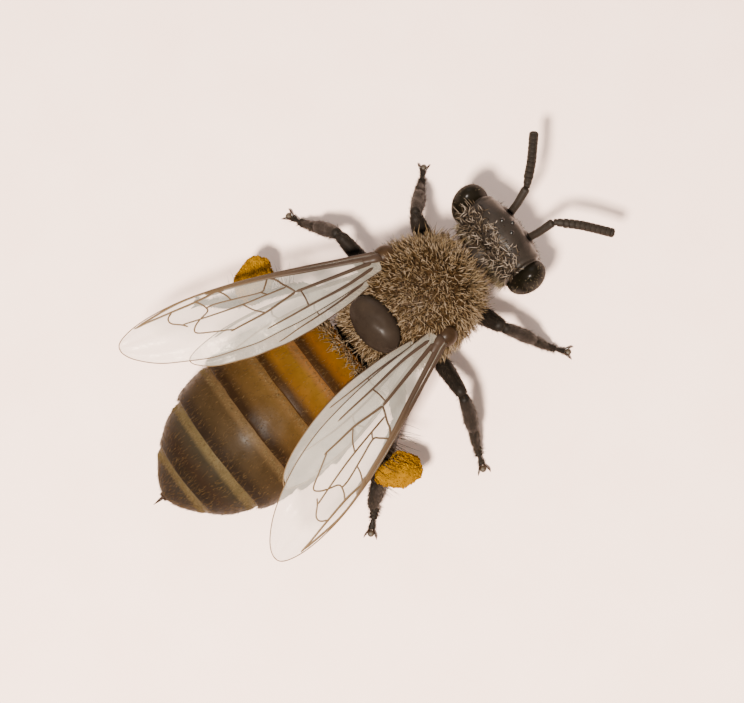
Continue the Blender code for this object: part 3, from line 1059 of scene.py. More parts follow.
@dataclass
class Antenna:
    """A feeler: a long first joint, a bead of a second, and ten short joints beyond the elbow."""

    side: Side
    scape_radius: float = 0.115
    joint_radius: float = 0.142
    joints: int = 10
    bend: tuple[float, float, float] = (0.61, -0.68, -0.16)  # from the elbow to the bend of its whip
    gap: float = 0.002  # between short joints, as a share of the whip
    scape_hairs: int = 500
    joint_hairs: int = 130
    down: Coat = Coat(0.045, 0.005, 0.35, 0.25, 0.2, steps=SHORT)

    def __post_init__(self) -> None:
        """Read its socket, elbow and tip from the frame."""
        word = self.side.word
        self.nodes = (f"antenna_scape_{word}", f"antenna_flagellum_{word}")
        self.elbow = meeting(*self.nodes)
        self.socket = far_end(self.nodes[0], self.elbow)
        self.tip = far_end(self.nodes[1], self.elbow, 0.05)

    def scape(self) -> Skin:
        """The long first joint, narrowest where it turns in its socket.

        Returns:
            Its skin.
        """
        swell = unit(np.cross(self.elbow - self.socket, UP)) * 0.05
        middle = (self.socket + self.elbow) / 2 + UP * 0.08 + swell
        r = self.scape_radius
        stations = [(0, r * 0.55, r * 0.55), (0.1, r * 0.6, r * 0.6), (0.2, r, r), (0.7, r * 1.05, r),
                    (1, r * 1.15, r * 1.1)]
        return segment([self.socket, middle, self.elbow], stations, UP, 40, 24, (0.06, 0.06))

    def whip(self) -> list[Skin]:
        """The bead at the elbow and the short joints after it, each a little fuller at its far end.

        Returns:
            Their skins, and last the core that runs through them.
        """
        bend = self.elbow + mirror(self.bend, self.side)
        path = curve_through([self.elbow, self.elbow * 0.5 + bend * 0.5 + UP * 0.03, bend, self.tip], 400)
        shares = np.linspace(0, 1, 400)
        edges = np.concatenate([[0.0, 0.055, 0.15], np.linspace(0.15, 1, self.joints + 1)[1:-1], [1.0]])
        skins = []
        for number, (start, end) in enumerate(zip(edges, edges[1:])):
            inside = path[(shares >= start + self.gap) & (shares <= end - self.gap)]
            r = self.joint_radius * (0.72 if number == 0 else 0.86 if number == 1 else 1.0)
            blunt = 0.4 if number == len(edges) - 2 else 0.08
            swell = ((0, 0.97), (0.25, 1), (0.8, 1.01), (1, 0.98))
            stations = [(share, r * size, r * size) for share, size in swell]
            line = [inside[0], inside[len(inside) // 2], inside[-1]]
            skins.append(segment(line, stations, UP, 14, 24, (0.08, blunt)))
        core = segment([path[4], path[200], path[-12]], [(0, 0.115, 0.115), (1, 0.115, 0.115)], UP, 60, 12)
        return [*skins, core]

    def build(self, tiles: Sequence[Tile]) -> list[Surface]:
        """Show the feeler.

        Args:
            tiles: parts of the head coat's bake map, one for the first joint and one for the whip.

        Returns:
            The down that covers it.
        """
        scape, whip = self.scape(), self.whip()
        surface = Surface.joined([skin.surface() for skin in (scape, *whip)])
        surface.piece(f"antenna_{self.side.word}", FEELER_SHELL, "antenna_cuticle", self.nodes)
        along = unit(self.tip - self.elbow)
        down = [self.down.grow(scape.roots(self.scape_hairs, tiles[0]), unit(self.elbow - self.socket))]
        down += [self.down.grow(skin.roots(self.joint_hairs, tiles[1]), along) for skin in whip[1:-1]]
        return down


@dataclass
class Mouth:
    """The jaws and the folded tongue."""

    jaw_shape: Stations = (
        (0, 0.2, 0.17), (0.2, 0.17, 0.13), (0.45, 0.13, 0.1), (0.75, 0.2, 0.085), (1, 0.16, 0.06),
    )
    tongue_shape: Stations = ((0, 0.17, 0.15), (0.35, 0.14, 0.12), (1, 0.045, 0.045))
    sheath_shape: Stations = ((0, 0.06, 0.17), (0.3, 0.045, 0.16), (0.75, 0.035, 0.12), (1, 0.02, 0.05))
    feeler_shape: Stations = ((0, 0.035, 0.035), (1, 0.02, 0.02))

    def jaw(self, side: Side) -> Surface:
        """A jaw: a flattened rod that widens to a spoon and crosses the mouth.

        Args:
            side: which of the two.

        Returns:
            The jaw.
        """
        centre, half = centre_and_half(f"mandible_{side.word}")
        # The node runs from its hinge, up and outward, to its tip, down and inward.
        hinge = centre + mirror([half[0] * 0.42, half[1] * 0.3, half[2] * 0.62], side)
        bow = centre + mirror([half[0] * 0.38, -half[1] * 0.3, -half[2] * 0.1], side)
        tip = centre + mirror([-half[0] * 0.5, -half[1] * 0.42, -half[2] * 0.66], side)
        face = mirror([0.5, -0.85, 0.1], side)
        return segment([hinge, bow, tip], self.jaw_shape, face, 44, 28, (0.12, 0.12)).surface()

    def tongue(self) -> list[Surface]:
        """Two sheath blades and two feelers folded back round the tongue itself.

        Returns:
            The five lengths.
        """
        low, high = corners("proboscis")
        middle = (low + high) / 2
        start = np.array([middle[0], low[1] + 0.28, high[2] - 0.02])
        bend = np.array([middle[0], middle[1] - 0.02, middle[2] - 0.12])
        end = np.array([middle[0], high[1] - 0.1, low[2] + 0.26])
        line = (start, bend, end)
        parts = [segment(line, self.tongue_shape, BACK, 40, 24).surface()]
        for side in Side:
            blade = [p + mirror([0.13 - 0.07 * k, 0.0, 0.01], side) for k, p in enumerate(line)]
            parts.append(segment(blade, self.sheath_shape, BACK, 40, 20).surface())
            palp = [p + mirror([0.2 - 0.08 * k, -0.1, 0.03], side) for k, p in enumerate(line)]
            parts.append(segment(palp, self.feeler_shape, BACK, 30, 12).surface())
        return parts

    def build(self) -> None:
        """Show the jaws and the tongue."""
        for side in Side:
            self.jaw(side).piece(f"jaw_{side.word}", JAW_SHELL, "mouthparts", [f"mandible_{side.word}"])
        Surface.joined(self.tongue()).piece("tongue", TONGUE_SHELL, "mouthparts", ["proboscis"])


@dataclass
class Head:
    """The head: a shield-shaped box, flat in front and hollow behind, wider above than below."""

    half: tuple[float, float, float] = (1.47, 0.86, 1.66)
    taper: float = 0.26
    sockets: tuple[float, float] = (0.48, 0.5)  # of the feelers, aside and up from the middle of the face
    rows: int = 150
    around: int = 220
    eye_room: float = 1.1  # hair keeps this far from the middle of an eye, whose surface is at 1
    crown_hairs: int = 4700
    face_hairs: int = 6500
    cheek_hairs: int = 6000
    tuft: Coat = Coat(0.34, 0.0155, 0.55, 0.42, 0.2, 0.4)
    face: Coat = Coat(0.17, 0.007, 0.4, 0.25, 0.3, steps=SHORT)
    cheek: Coat = Coat(0.26, 0.009, 0.5, 0.3, 0.3, steps=SHORT)

    def __post_init__(self) -> None:
        """Read its middle from the frame, and set up its eyes and feelers."""
        self.centre, _ = centre_and_half("head")
        self.eyes = [Eye(side) for side in Side]
        self.antennae = [Antenna(side) for side in Side]

    def blank(self) -> Array:
        """The head before its relief.

        Returns:
            Its rings, round its own middle.
        """
        polar = np.linspace(-math.pi / 2, math.pi / 2, self.rows + 2)[1:-1, None]
        angle = np.linspace(0, math.tau, self.around, endpoint=False)[None]
        wide, deep, tall = self.half
        height = np.sin(polar) * np.ones_like(angle)
        out = np.cos(polar) ** 0.86
        x = np.sign(np.cos(angle)) * np.abs(np.cos(angle)) ** 0.8 * out
        y = np.sign(np.sin(angle)) * np.abs(np.sin(angle)) ** 0.9 * out
        x = x * wide * (1 + self.taper * height - 0.1 * smooth(height, 0.55, 1.0))
        y = y * deep * (1 - 0.1 * height)
        z = height * tall
        # The back is hollow round the neck, and the mouth is drawn forward.
        hollow = 0.34 * hill(x, 0, 0.75) * hill(z, 0.1, 0.8) * (y > 0)
        y = y * (1 - hollow) - 0.16 * smooth(-z, 0.6, 1.6)
        return np.stack([x, y, z], axis=-1)

    def relief(self, points: Array) -> Array:
        """How far the plates of the face stand out.

        Args:
            points: places round the head's middle.

        Returns:
            A height for each.
        """
        x, y, z = np.abs(points[..., 0]), points[..., 1], points[..., 2]
        front = smooth(-y, 0.12, 0.45)
        # The front plate above the mouth is a shield with a seam round it.
        shield = np.maximum(x - (0.46 + 0.16 * smooth(-z, 0.5, 1.3)), np.maximum(z + 0.42, -1.32 - z))
        height = 0.075 * smooth(-shield, -0.02, 0.3) - 0.035 * hill(shield, 0.02, 0.03)
        height += 0.06 * hill(x, 0, 0.26) * hill(z, -0.2, 0.2)
        aside, up = self.sockets
        ring = np.hypot(x - aside, z - up)
        height += 0.045 * hill(ring, 0.17, 0.045) - 0.1 * smooth(0.13 - ring, 0, 0.08)
        height -= 0.03 * hill(x, 0, 0.025) * smooth(z, 0.1, 0.3) * smooth(1.15 - z, 0, 0.2)
        height -= 0.09 * hill(x, 0.45, 0.35) * hill(z, 0.8, 0.28)
        height += 0.05 * hill(x, 0, 0.45) * hill(z, 1.42, 0.25)
        return height * front

    def skin(self) -> Skin:
        """The head with its relief, and a groove round each eye.

        Returns:
            Its skin.
        """
        points = self.blank()
        shell = Skin(points)
        height = self.relief(points)
        for eye in self.eyes:
            near = eye.nearness(points + self.centre)
            height += 0.035 * hill(near, 1.24, 0.09) - 0.05 * hill(near, 1.07, 0.06)
        height += 0.006 * ripple(points, 0.5, 3)
        return Skin(shell.pushed(height).rings + self.centre)

    def ocelli(self) -> Surface:
        """Three simple eyes on the crown, as low glossy domes.

        Returns:
            The three.
        """
        tall = self.half[2]
        spots = np.array([(0.0, -0.44, tall - 0.2), (0.23, -0.22, tall - 0.1), (-0.23, -0.22, tall - 0.1)])
        return Surface.joined([ball(self.centre + spot, (0.085,) * 3, 24, 32).surface() for spot in spots])

    def lip(self) -> Skin:
        """The upper lip: a short flap hung from the front plate."""
        place = self.centre + np.array([0.0, -0.62, -1.5])
        return ball(place, (0.36, 0.09, 0.17), 30, 48, turn_about((1, 0, 0), -0.2))

    def clear(self, points: Array) -> Array:
        """Whether each place is clear of both eyes."""
        return np.min([eye.nearness(points) for eye in self.eyes], axis=0) > self.eye_room

    def coat(self, skin: Skin, tiles: Sequence[Tile]) -> list[Surface]:
        """Hair on the crown, the face and the cheeks.

        Args:
            skin: the head's skin.
            tiles: the head's part of the coat's bake map, used for all three.

        Returns:
            The hairs, one surface for each kind.
        """

        def crown(points: Array, normals: Array) -> Array:
            """The share of hairs on the crown, whose front edge is ragged.

            Args:
                points: places on the skin.
                normals: not used.

            Returns:
                A share for each.
            """
            p = points - self.centre
            ragged = p[:, 1] + 0.14 * ripple(p, 0.55, 31) - 0.12 * np.abs(p[:, 0])
            return smooth(p[:, 2], 0.35, 0.9) * smooth(ragged, -0.3, 0.25) ** 1.3 * self.clear(points)

        def front(points: Array, normals: Array) -> Array:
            """The share of hairs on the face, thinner along its middle.

            Args:
                points: places on the skin.
                normals: not used.

            Returns:
                A share for each.
            """
            p = points - self.centre
            aside = smooth(np.abs(p[:, 0]), 0.25, 0.7)
            plain = 1 - smooth(p[:, 2], 0.1, 0.5)
            return smooth(-p[:, 1], 0.1, 0.35) * self.clear(points) * plain * (0.3 + 0.7 * aside)

        def behind(points: Array, normals: Array) -> Array:
            """The share of hairs on the cheeks and behind."""
            p = points - self.centre
            return smooth(p[:, 1], -0.25, 0.1) * smooth(-p[:, 2], -0.9, 0.2) * self.clear(points)

        tufts = skin.roots(self.crown_hairs, tiles[0], crown)
        faces = skin.roots(self.face_hairs, tiles[1], front)
        cheeks = skin.roots(self.cheek_hairs, tiles[2], behind)
        longer = smooth((tufts.points - self.centre)[:, 1], 0.0, 0.4)
        return [
            self.tuft.grow(tufts, np.array([0.0, 0.4, 1.0]), 0.75 + 0.25 * longer),
            self.face.grow(faces, -UP + BACK * -0.3),
            self.cheek.grow(cheeks, -UP * 0.4 + BACK * 0.6),
        ]

    def build(self) -> None:
        """Show the head, its eyes, feelers and mouth, and their hair."""
        sheet = [Tile(k, 3, 3) for k in range(9)]
        skin = self.skin()
        shell = Surface.joined([skin.surface(), self.lip().surface()])
        shell.piece("head_capsule", HEAD_SHELL, "head_cuticle", ["head"])
        self.ocelli().piece("ocelli", OCELLUS, "eye")
        tuft, face, cheek = self.coat(skin, sheet[:3])
        eye_hair = [eye.build(sheet[3 + k]) for k, eye in enumerate(self.eyes)]
        down = []
        for k, antenna in enumerate(self.antennae):
            down += antenna.build(sheet[5 + 2 * k : 7 + 2 * k])
        tuft.piece("hair_crown", CROWN_HAIR, "thorax_fur")
        Surface.joined([face, cheek, *eye_hair]).piece("hair_face", FACE_HAIR, "thorax_fur")
        Surface.joined(down).piece("down_antennae", DOWN_HAIR, "antenna_cuticle")
        Mouth().build()


# --- thorax ---


@dataclass
class Thorax:
    """The round middle body under its fur, with the polished half-moon plate at its back and the wing scales.

    Stations run from the neck to the waist, from the thorax's middle: y, half width, top and bottom.
    """

    stations: tuple[tuple[float, float, float, float], ...] = (
        (-1.68, 0.2, 0.1, -0.5), (-1.62, 0.55, 0.45, -0.8), (-1.4, 0.92, 0.84, -1.06),
        (-1.05, 1.25, 1.16, -1.28), (-0.6, 1.48, 1.42, -1.46), (0.0, 1.6, 1.5, -1.5),
        (0.6, 1.56, 1.43, -1.48), (1.2, 1.42, 1.16, -1.4), (1.65, 1.27, 0.84, -1.28),
        (2.1, 1.06, 0.42, -1.1), (2.42, 0.78, 0.02, -0.98), (2.6, 0.4, -0.35, -0.9),
    )
    fullness: float = 0.88  # 1 is an oval section, less is boxier
    neck_shape: Stations = ((0, 0.42, 0.42), (0.5, 0.38, 0.38), (1, 0.42, 0.42))
    waist_shape: Stations = ((0, 0.3, 0.26), (0.4, 0.22, 0.2), (1, 0.32, 0.3))
    rows: int = 150
    around: int = 180
    fur_hairs: int = 8400
    ruff_hairs: int = 7500
    under_hairs: int = 17000
    fur: Coat = Coat(0.32, 0.0162, 0.8, 0.34, 0.16, 0.35)
    under: Coat = Coat(0.2, 0.0105, 0.5, 0.35, 0.2, 0.3, steps=SHORT)
    collar: Coat = Coat(0.5, 0.0155, 0.6, 0.35, 0.2, 0.35)

    def __post_init__(self) -> None:
        """Read its middle from the frame."""
        low, high = corners("thorax")
        half = (high - low) / 2
        # The fur hides where the rear is cut, so the middle is measured from the front and the floor side.
        self.centre = np.array([(low[0] + high[0]) / 2, low[1] + half[0], (low[2] + high[2]) / 2])

    def skin(self) -> Skin:
        """The thorax and the slope behind it.

        Returns:
            Both as one skin.
        """
        table = curve_through(self.stations, self.rows)
        angle = np.linspace(0, math.tau, self.around, endpoint=False)
        across = np.sign(np.cos(angle)) * np.abs(np.cos(angle)) ** self.fullness
        upward = np.sign(np.sin(angle)) * np.abs(np.sin(angle)) ** self.fullness
        place, half, top, bottom = (column[:, None] for column in table.T)
        x = half * across
        y = place + np.zeros_like(x)
        z = (top + bottom) / 2 + (top - bottom) / 2 * upward
        shell = Skin(np.stack([x, y, z], axis=-1) + self.centre)
        return shell.pushed(self.relief(shell.rings - self.centre))

    def relief(self, points: Array) -> Array:
        """Seams of the back and sides.

        Args:
            points: places round the thorax's middle.

        Returns:
            A height for each.
        """
        x, y, z = np.abs(points[..., 0]), points[..., 1], points[..., 2]
        top = smooth(z, 0.4, 1.0)
        height = -0.04 * hill(x, 0, 0.03) * top * smooth(0.9 - y, 0, 0.4)
        height -= 0.035 * hill(x - 0.62 - 0.1 * y, 0, 0.04) * top * hill(y, -0.1, 0.8)
        height -= 0.05 * hill(y + 1.25 + 0.5 * (1 - top), 0, 0.06)
        side = smooth(x, 0.9, 1.3) * (1 - top)
        height -= 0.05 * (hill(y - 0.1 + 0.3 * z, 0, 0.05) + hill(y - 1.2, 0, 0.05)) * side
        return height + 0.02 * ripple(points, 0.8, 5)

    def scutellum(self) -> Surface:
        """The polished plate that overhangs the thorax's back: a half moon with a rolled hind edge.

        Returns:
            The plate.
        """
        centre, _ = centre_and_half("scutellum")
        dome = ball(np.zeros(3), (0.94, 0.58, 0.43), 70, 160)
        x, y, z = (dome.rings[..., k] for k in range(3))
        rim = 0.05 * hill(y - 0.5 * np.sqrt(np.clip(1 - x**2, 0, 1)), 0, 0.09) * (z > -0.1)
        dent = -0.03 * hill(x, 0, 0.3) * hill(y, -0.28, 0.15)
        lifted = dome.pushed((rim + dent) * smooth(z, -0.1, 0.15) + 0.006 * ripple(dome.rings, 0.4, 6))
        return Skin(lifted.rings @ turn_about((1, 0, 0), -0.5).T + centre).surface()

    def scale(self, side: Side) -> Skin:
        """The little shell over a wing's root.

        Args:
            side: which of the two.

        Returns:
            Its skin.
        """
        centre, half = centre_and_half(f"tegula_{side.word}")
        place = centre + mirror([-0.1, 0.18, 0.0], side)
        return ball(place, half * 0.8, 50, 70, turn_about(BACK, 0.5 * side.value))

    def lie(self, points: Array) -> Array:
        """The way the fur is combed: back along the top and out round the sides."""
        local = points - self.centre
        return unit(np.stack([local[:, 0] * 0.5, 0.7 + 0 * local[:, 1], 0.35 * local[:, 2]], axis=1))

    def bare(self, points: Array) -> Array:
        """Where the polished plate and the wing scales leave no room for fur.

        Args:
            points: places on the skin.

        Returns:
            Whether each is bare.
        """
        centre, _ = centre_and_half("scutellum")
        inside = np.linalg.norm((points - centre) / np.array([0.94, 0.54, 0.6]), axis=1) < 0.96
        for side in Side:
            middle, half = centre_and_half(f"tegula_{side.word}")
            inside |= np.linalg.norm((points - middle) / (half * 0.5), axis=1) < 1
        return inside

    def coat(self, skin: Skin) -> dict[str, Surface]:
        """The fur in pieces: the back, the sides, the underside and the slope to the waist.

        Args:
            skin: the thorax's skin.

        Returns:
            Surfaces by name.
        """

        def share(points: Array, normals: Array) -> Array:
            """The share of the fur, which is thinner below."""
            below = smooth(-(points - self.centre)[:, 2], 0.6, 1.3)
            return (1 - 0.55 * below) * ~self.bare(points)

        def ruff(points: Array, normals: Array) -> Array:
            """The share of the ruff, between the head and the thorax and on the neck's sides."""
            p = points - self.centre
            return share(points, normals) * hill(p[:, 1], -1.32, 0.28) * smooth(np.abs(p[:, 0]), 0.35, 0.9)

        roots = skin.roots(self.fur_hairs, Tile(), share)
        local = roots.points - self.centre
        # Short and even over the middle of the back, longest at the neck, the flanks and under the wings.
        edge = smooth(np.abs(local[:, 0]), 0.9, 1.6) + smooth(-local[:, 1], 0.9, 1.6)
        lengths = 0.8 + 0.32 * np.clip(edge, 0, 1) + 0.08 * ripple(local, 0.5, 8)
        back = local[:, 2] > 0.35
        front = local[:, 1] < 0
        regions = {
            "hair_back_front": back & front, "hair_back_rear": back & ~front,
            "hair_flanks_front": ~back & front, "hair_flanks_rear": ~back & ~front,
        }
        pieces = {}
        for name, keep in regions.items():
            pieces[name] = self.fur.grow(roots.kept(keep), self.lie, lengths[keep])
        collar = skin.roots(self.ruff_hairs, Tile(), ruff)
        pieces["hair_collar"] = self.collar.grow(collar, -BACK * 0.8 - UP * 0.1)
        short = skin.roots(self.under_hairs, Tile(), share)
        pieces["hair_undercoat"] = self.under.grow(short, self.lie)
        return pieces

    def build(self) -> None:
        """Show the thorax, its plates, its neck and waist, and its fur."""
        skin = self.skin()
        skin.surface().piece("thorax_skin", THORAX_SHELL, "thorax_fur", ["thorax", "propodeum"])
        self.scutellum().piece("scutellum_plate", POLISHED_SHELL, "shiny_cuticle", ["scutellum"])
        for side in Side:
            shell = self.scale(side).surface()
            shell.piece(f"wing_scale_{side.word}", WING_SCALE, "shiny_cuticle", [f"tegula_{side.word}"])
        low, high = corners("neck")
        line = [(0, low[1], high[2] - 0.5), (0, high[1], high[2] - 0.45)]
        neck = segment(line, self.neck_shape, UP, 30, 40, (0.02, 0.02))
        neck.surface().piece("neck_skin", HEAD_SHELL, "head_cuticle", ["neck"])
        low, high = corners("petiole")
        line = [(0, low[1], low[2] + 0.36), (0, high[1], high[2] - 0.34)]
        waist = segment(line, self.waist_shape, UP, 30, 40, (0.02, 0.02))
        waist.surface().piece("waist_skin", HEAD_SHELL, "head_cuticle", ["petiole"])
        for name, surface in self.coat(skin).items():
            finish = {"hair_undercoat": UNDER_HAIR, "hair_collar": COLLAR_HAIR}.get(name, TAN_HAIR)
            surface.piece(name, finish, "thorax_fur")


# --- wings ---


Line = tuple[tuple[int, int], ...]


@dataclass(frozen=True)
class WingPlan:
    """A wing drawn flat, in thousandths of its length: along it, and across to its leading edge."""

    outline: Line
    veins: tuple[tuple[int, int, Line], ...]  # radii at both ends, in thousandths of a mm, and the line


FOREWING_PLAN = WingPlan(
    outline=(
        (0, 42), (150, 58), (350, 80), (550, 94), (740, 88), (890, 58), (980, 16), (1000, -25), (960, -75),
        (860, -122), (720, -153), (570, -160), (420, -143), (260, -110), (110, -68), (0, -35),
    ),
    veins=(
        (85, 55, ((0, 15), (100, 29), (250, 48), (420, 69), (600, 81))),
        (50, 32, ((0, 36), (150, 53), (400, 76), (610, 89), (750, 83), (920, 42))),
        (40, 28, ((600, 80), (680, 63), (800, 51), (880, 45), (930, 39))),
        (70, 45, ((30, 1), (150, -9), (250, -16), (330, -22))),
        (36, 32, ((410, 68), (380, 47), (360, 16), (330, -22))),
        (42, 26, ((330, -22), (390, -43), (450, -64), (530, -80), (600, -95))),
        (28, 28, ((310, -22), (305, -50), (300, -86))),
        (55, 26, ((30, -19), (150, -56), (300, -86), (400, -108), (470, -122))),
        (30, 27, ((410, 68), (430, 37), (450, 18), (530, 24), (620, 30), (660, 26))),
        (27, 26, ((600, 80), (575, 52), (560, 25))),
        (27, 25, ((690, 63), (665, 40), (655, 13), (690, -12))),
        (26, 24, ((780, 52), (800, 31), (795, 10), (760, -11), (740, -27))),
        (30, 25, ((355, 6), (450, -3), (530, -9), (600, -12), (690, -12), (760, -11))),
        (26, 25, ((530, -7), (500, -37), (460, -65))),
        (26, 22, ((690, -12), (715, -33), (720, -56), (660, -73), (585, -92))),
        (26, 24, ((450, 18), (440, 7), (430, -1))),
    ),
)
HINDWING_PLAN = WingPlan(
    outline=(
        (0, 45), (200, 60), (450, 80), (660, 76), (860, 42), (1000, -20), (950, -85), (800, -130),
        (600, -150), (420, -145), (270, -120), (120, -85), (0, -45),
    ),
    veins=(
        (50, 30, ((0, 30), (200, 48), (450, 69), (660, 67), (840, 34))),
        (45, 25, ((20, 0), (200, -7), (420, -12), (620, -36), (800, -80))),
        (30, 25, ((500, 70), (520, 23), (500, -20))),
        (40, 20, ((20, -19), (200, -65), (400, -102), (550, -130))),
        (25, 20, ((300, -10), (310, -52), (300, -86))),
    ),
)


@dataclass
class Wing:
    """One wing: a thin cambered film stiffened by tubular veins. Angles are in degrees."""

    node: str
    side: Side
    plan: WingPlan
    film: Membrane
    length: float
    spread: float  # from straight back
    rise: float  # of its tip above the level
    roll: float = 9.0  # about its own length
    thickness: float = 0.014
    bead: float = 0.016  # radius of the wing's edge, and the least thickness of a vein
    camber: float = 0.028  # how far its middle stands above its edges, as a share of its length
    sink: float = 0.0  # how far it lies below its node's middle plane, in millimetres
    columns: int = 150
    rows: int = 26

    def __post_init__(self) -> None:
        """Find its root from its node in the frame."""
        points = mirror(node_points(f"{self.node}_{self.side.word}"), self.side)
        front = points[points[:, 1] < points[:, 1].min() + 0.25]
        swing = turn_about(UP, math.radians(90 - self.spread))
        lift = turn_about(BACK, math.radians(-self.rise))
        tilt = turn_about((1, 0, 0), math.radians(self.roll))
        self.axes = swing @ lift @ tilt @ np.diag([1.0, -1.0, 1.0])
        own = (points - front.mean(axis=0)) @ self.axes
        # Its farthest point lies at its full length from the root, and its node is an even plate.
        self.outline = np.array(self.plan.outline) / 1000
        far, lead, top = own.max(axis=0)
        start = np.array([
            far - self.length * 1.002, lead - self.outline[:, 1].max() * self.length * 1.005,
            (own[:, 2].min() + top) / 2])
        self.root = front.mean(axis=0) + self.axes @ start
        self.up = mirror(self.axes[:, 2], self.side)

    def edges(self, shares: Array) -> tuple[Array, Array]:
        """The leading and trailing edges.

        Args:
            shares: places along the wing, as shares of its length.

        Returns:
            How far across each edge lies there.
        """
        tip = np.argmax(self.outline[:, 0])
        leading = curve_through(self.outline[: tip + 1], 300)
        trailing = curve_through(self.outline[tip:], 300)[::-1]
        lead = np.interp(shares, leading[:, 0], leading[:, 1])
        order = np.argsort(trailing[:, 0])
        return lead, np.interp(shares, trailing[order, 0], trailing[order, 1])

    def height(self, along: Array, across: Array) -> Array:
        """How far the film stands above the wing's plane.

        Args:
            along: shares of the length.
            across: shares of the length, towards the leading edge.

        Returns:
            Heights in millimetres.
        """
        lead, trail = self.edges(np.clip(along, 0, 1))
        share = np.clip((across - trail) / np.maximum(lead - trail, 1e-3), 0, 1)
        arch = np.sin(math.pi * share**0.8) * self.camber * np.sin(math.pi * np.clip(along, 0.05, 1)) ** 0.5
        pleat = 0.0035 * np.sin(share * math.tau * 3.2 + along * 5) * smooth(along, 0.05, 0.3)
        flute = 0.004 * np.sin(along * 34) * (1 - share) ** 2 * smooth(along, 0.2, 0.5)
        return (arch + pleat + flute) * self.length

    def place(self, flat: Array, lift: float = 0.0) -> Array:
        """Places on the drawn wing, put on the bee and lifted off the film.

        Args:
            flat: shares along and across.
            lift: distance above the film, in millimetres.

        Returns:
            The places.
        """
        up = self.height(flat[..., 0], flat[..., 1]) + lift - self.sink
        own = np.stack([flat[..., 0] * self.length, flat[..., 1] * self.length, up], axis=-1)
        return mirror(own @ self.axes.T + self.root, self.side)

    def membrane(self) -> Surface:
        """The film, from edge to edge, with both faces.

        Returns:
            The film.
        """
        bend = (1 - np.cos(np.linspace(0, math.pi, self.columns))) / 2
        along = np.clip(0.3 * np.linspace(0, 1, self.columns) + 0.7 * bend, 0.001, 0.9985)
        lead, trail = self.edges(along)
        across = np.linspace(0, 1, self.rows)
        grid = trail[:, None] * (1 - across) + lead[:, None] * across
        flat = np.stack([np.repeat(along[:, None], self.rows, axis=1), grid], axis=-1)
        half = self.thickness / 2
        rings = np.concatenate([self.place(flat, half), self.place(flat, -half)[:, ::-1]], axis=1)
        shown = np.concatenate([flat[..., 0], flat[:, ::-1, 0]], axis=1)
        return Skin(rings, {"along": shown}).surface()

    def tube(self, path: Array, wide: Array, deep: Array, along: Array | float, around: int) -> Surface:
        """A tube along the path, with half its width and depth, and its share of the wing for its colour."""
        rings = sweep(path, wide, deep, self.up, around).rings
        return Skin(rings, {"along": np.zeros(rings.shape[:2]) + along}).surface()

    def veins(self) -> list[Surface]:
        """The veins as flattened tubes, drawn in to fine ends.

        Returns:
            A tube for each.
        """
        tubes = []
        for first, last, line in self.plan.veins:
            flat = np.array(line) / 1000
            flat = curve_through(flat, max(24, int(120 * abs(flat[-1, 0] - flat[0, 0]) + 20)))
            share = np.linspace(0, 1, len(flat))
            ends = np.sqrt(np.clip(np.minimum(share, 1 - share) / 0.03, 0.05, 1))
            wide = (first + (last - first) * share) / 1000 * ends
            deep = np.maximum(wide * 0.62, self.bead)
            tubes.append(self.tube(self.place(flat), wide, deep, flat[:, :1], 10))
        return tubes

    def rim(self) -> Surface:
        """The fine bead round the wing's edge."""
        flat = curve_through(self.outline, 260)
        return self.tube(self.place(flat), *np.full((2, len(flat)), self.bead), flat[:, :1], 8)

    def stigma(self) -> Surface:
        """The small dark thickening at the end of the leading vein.

        Returns:
            The thickening.
        """
        path = self.place(curve_through([(0.575, 0.073), (0.6, 0.08), (0.645, 0.085)], 24))
        wide = 0.1 * np.sin(math.pi * np.clip(np.linspace(0, 1, 24), 0.03, 0.97)) ** 0.6
        return self.tube(path, wide, wide * 0.4, 0.55, 14)

    def hinge(self) -> Surface:
        """The hard knuckle that joins the wing to the body.

        Returns:
            The knuckle.
        """
        start, end = self.place(np.array([0.0, 0.012])), self.place(np.array([0.06, 0.016]))
        within = start - UP * 0.45 + mirror([-0.1, -0.22, 0.0], self.side)
        path = curve_through([within, start - UP * 0.04, (start + end) / 2, end], 40)
        share = np.clip(np.linspace(0, 1, 40) * 0.7 + 0.25, 0, 1)
        wide = 0.12 * np.sin(math.pi * share) ** 0.6 + 0.03
        return self.tube(path, wide, wide * 0.7, 0.0, 20)

    def build(self) -> None:
        """Show the wing."""
        label = f"{self.node}_{self.side.word}"
        self.membrane().piece(f"{label}_film", self.film, "wing_membrane", [label])
        lines = [*self.veins(), self.rim(), self.hinge()]
        if self.plan is FOREWING_PLAN:
            lines.append(self.stigma())
        Surface.joined(lines).piece(f"{label}_veins", WING_VEIN, "wing_membrane")


# --- abdomen ---


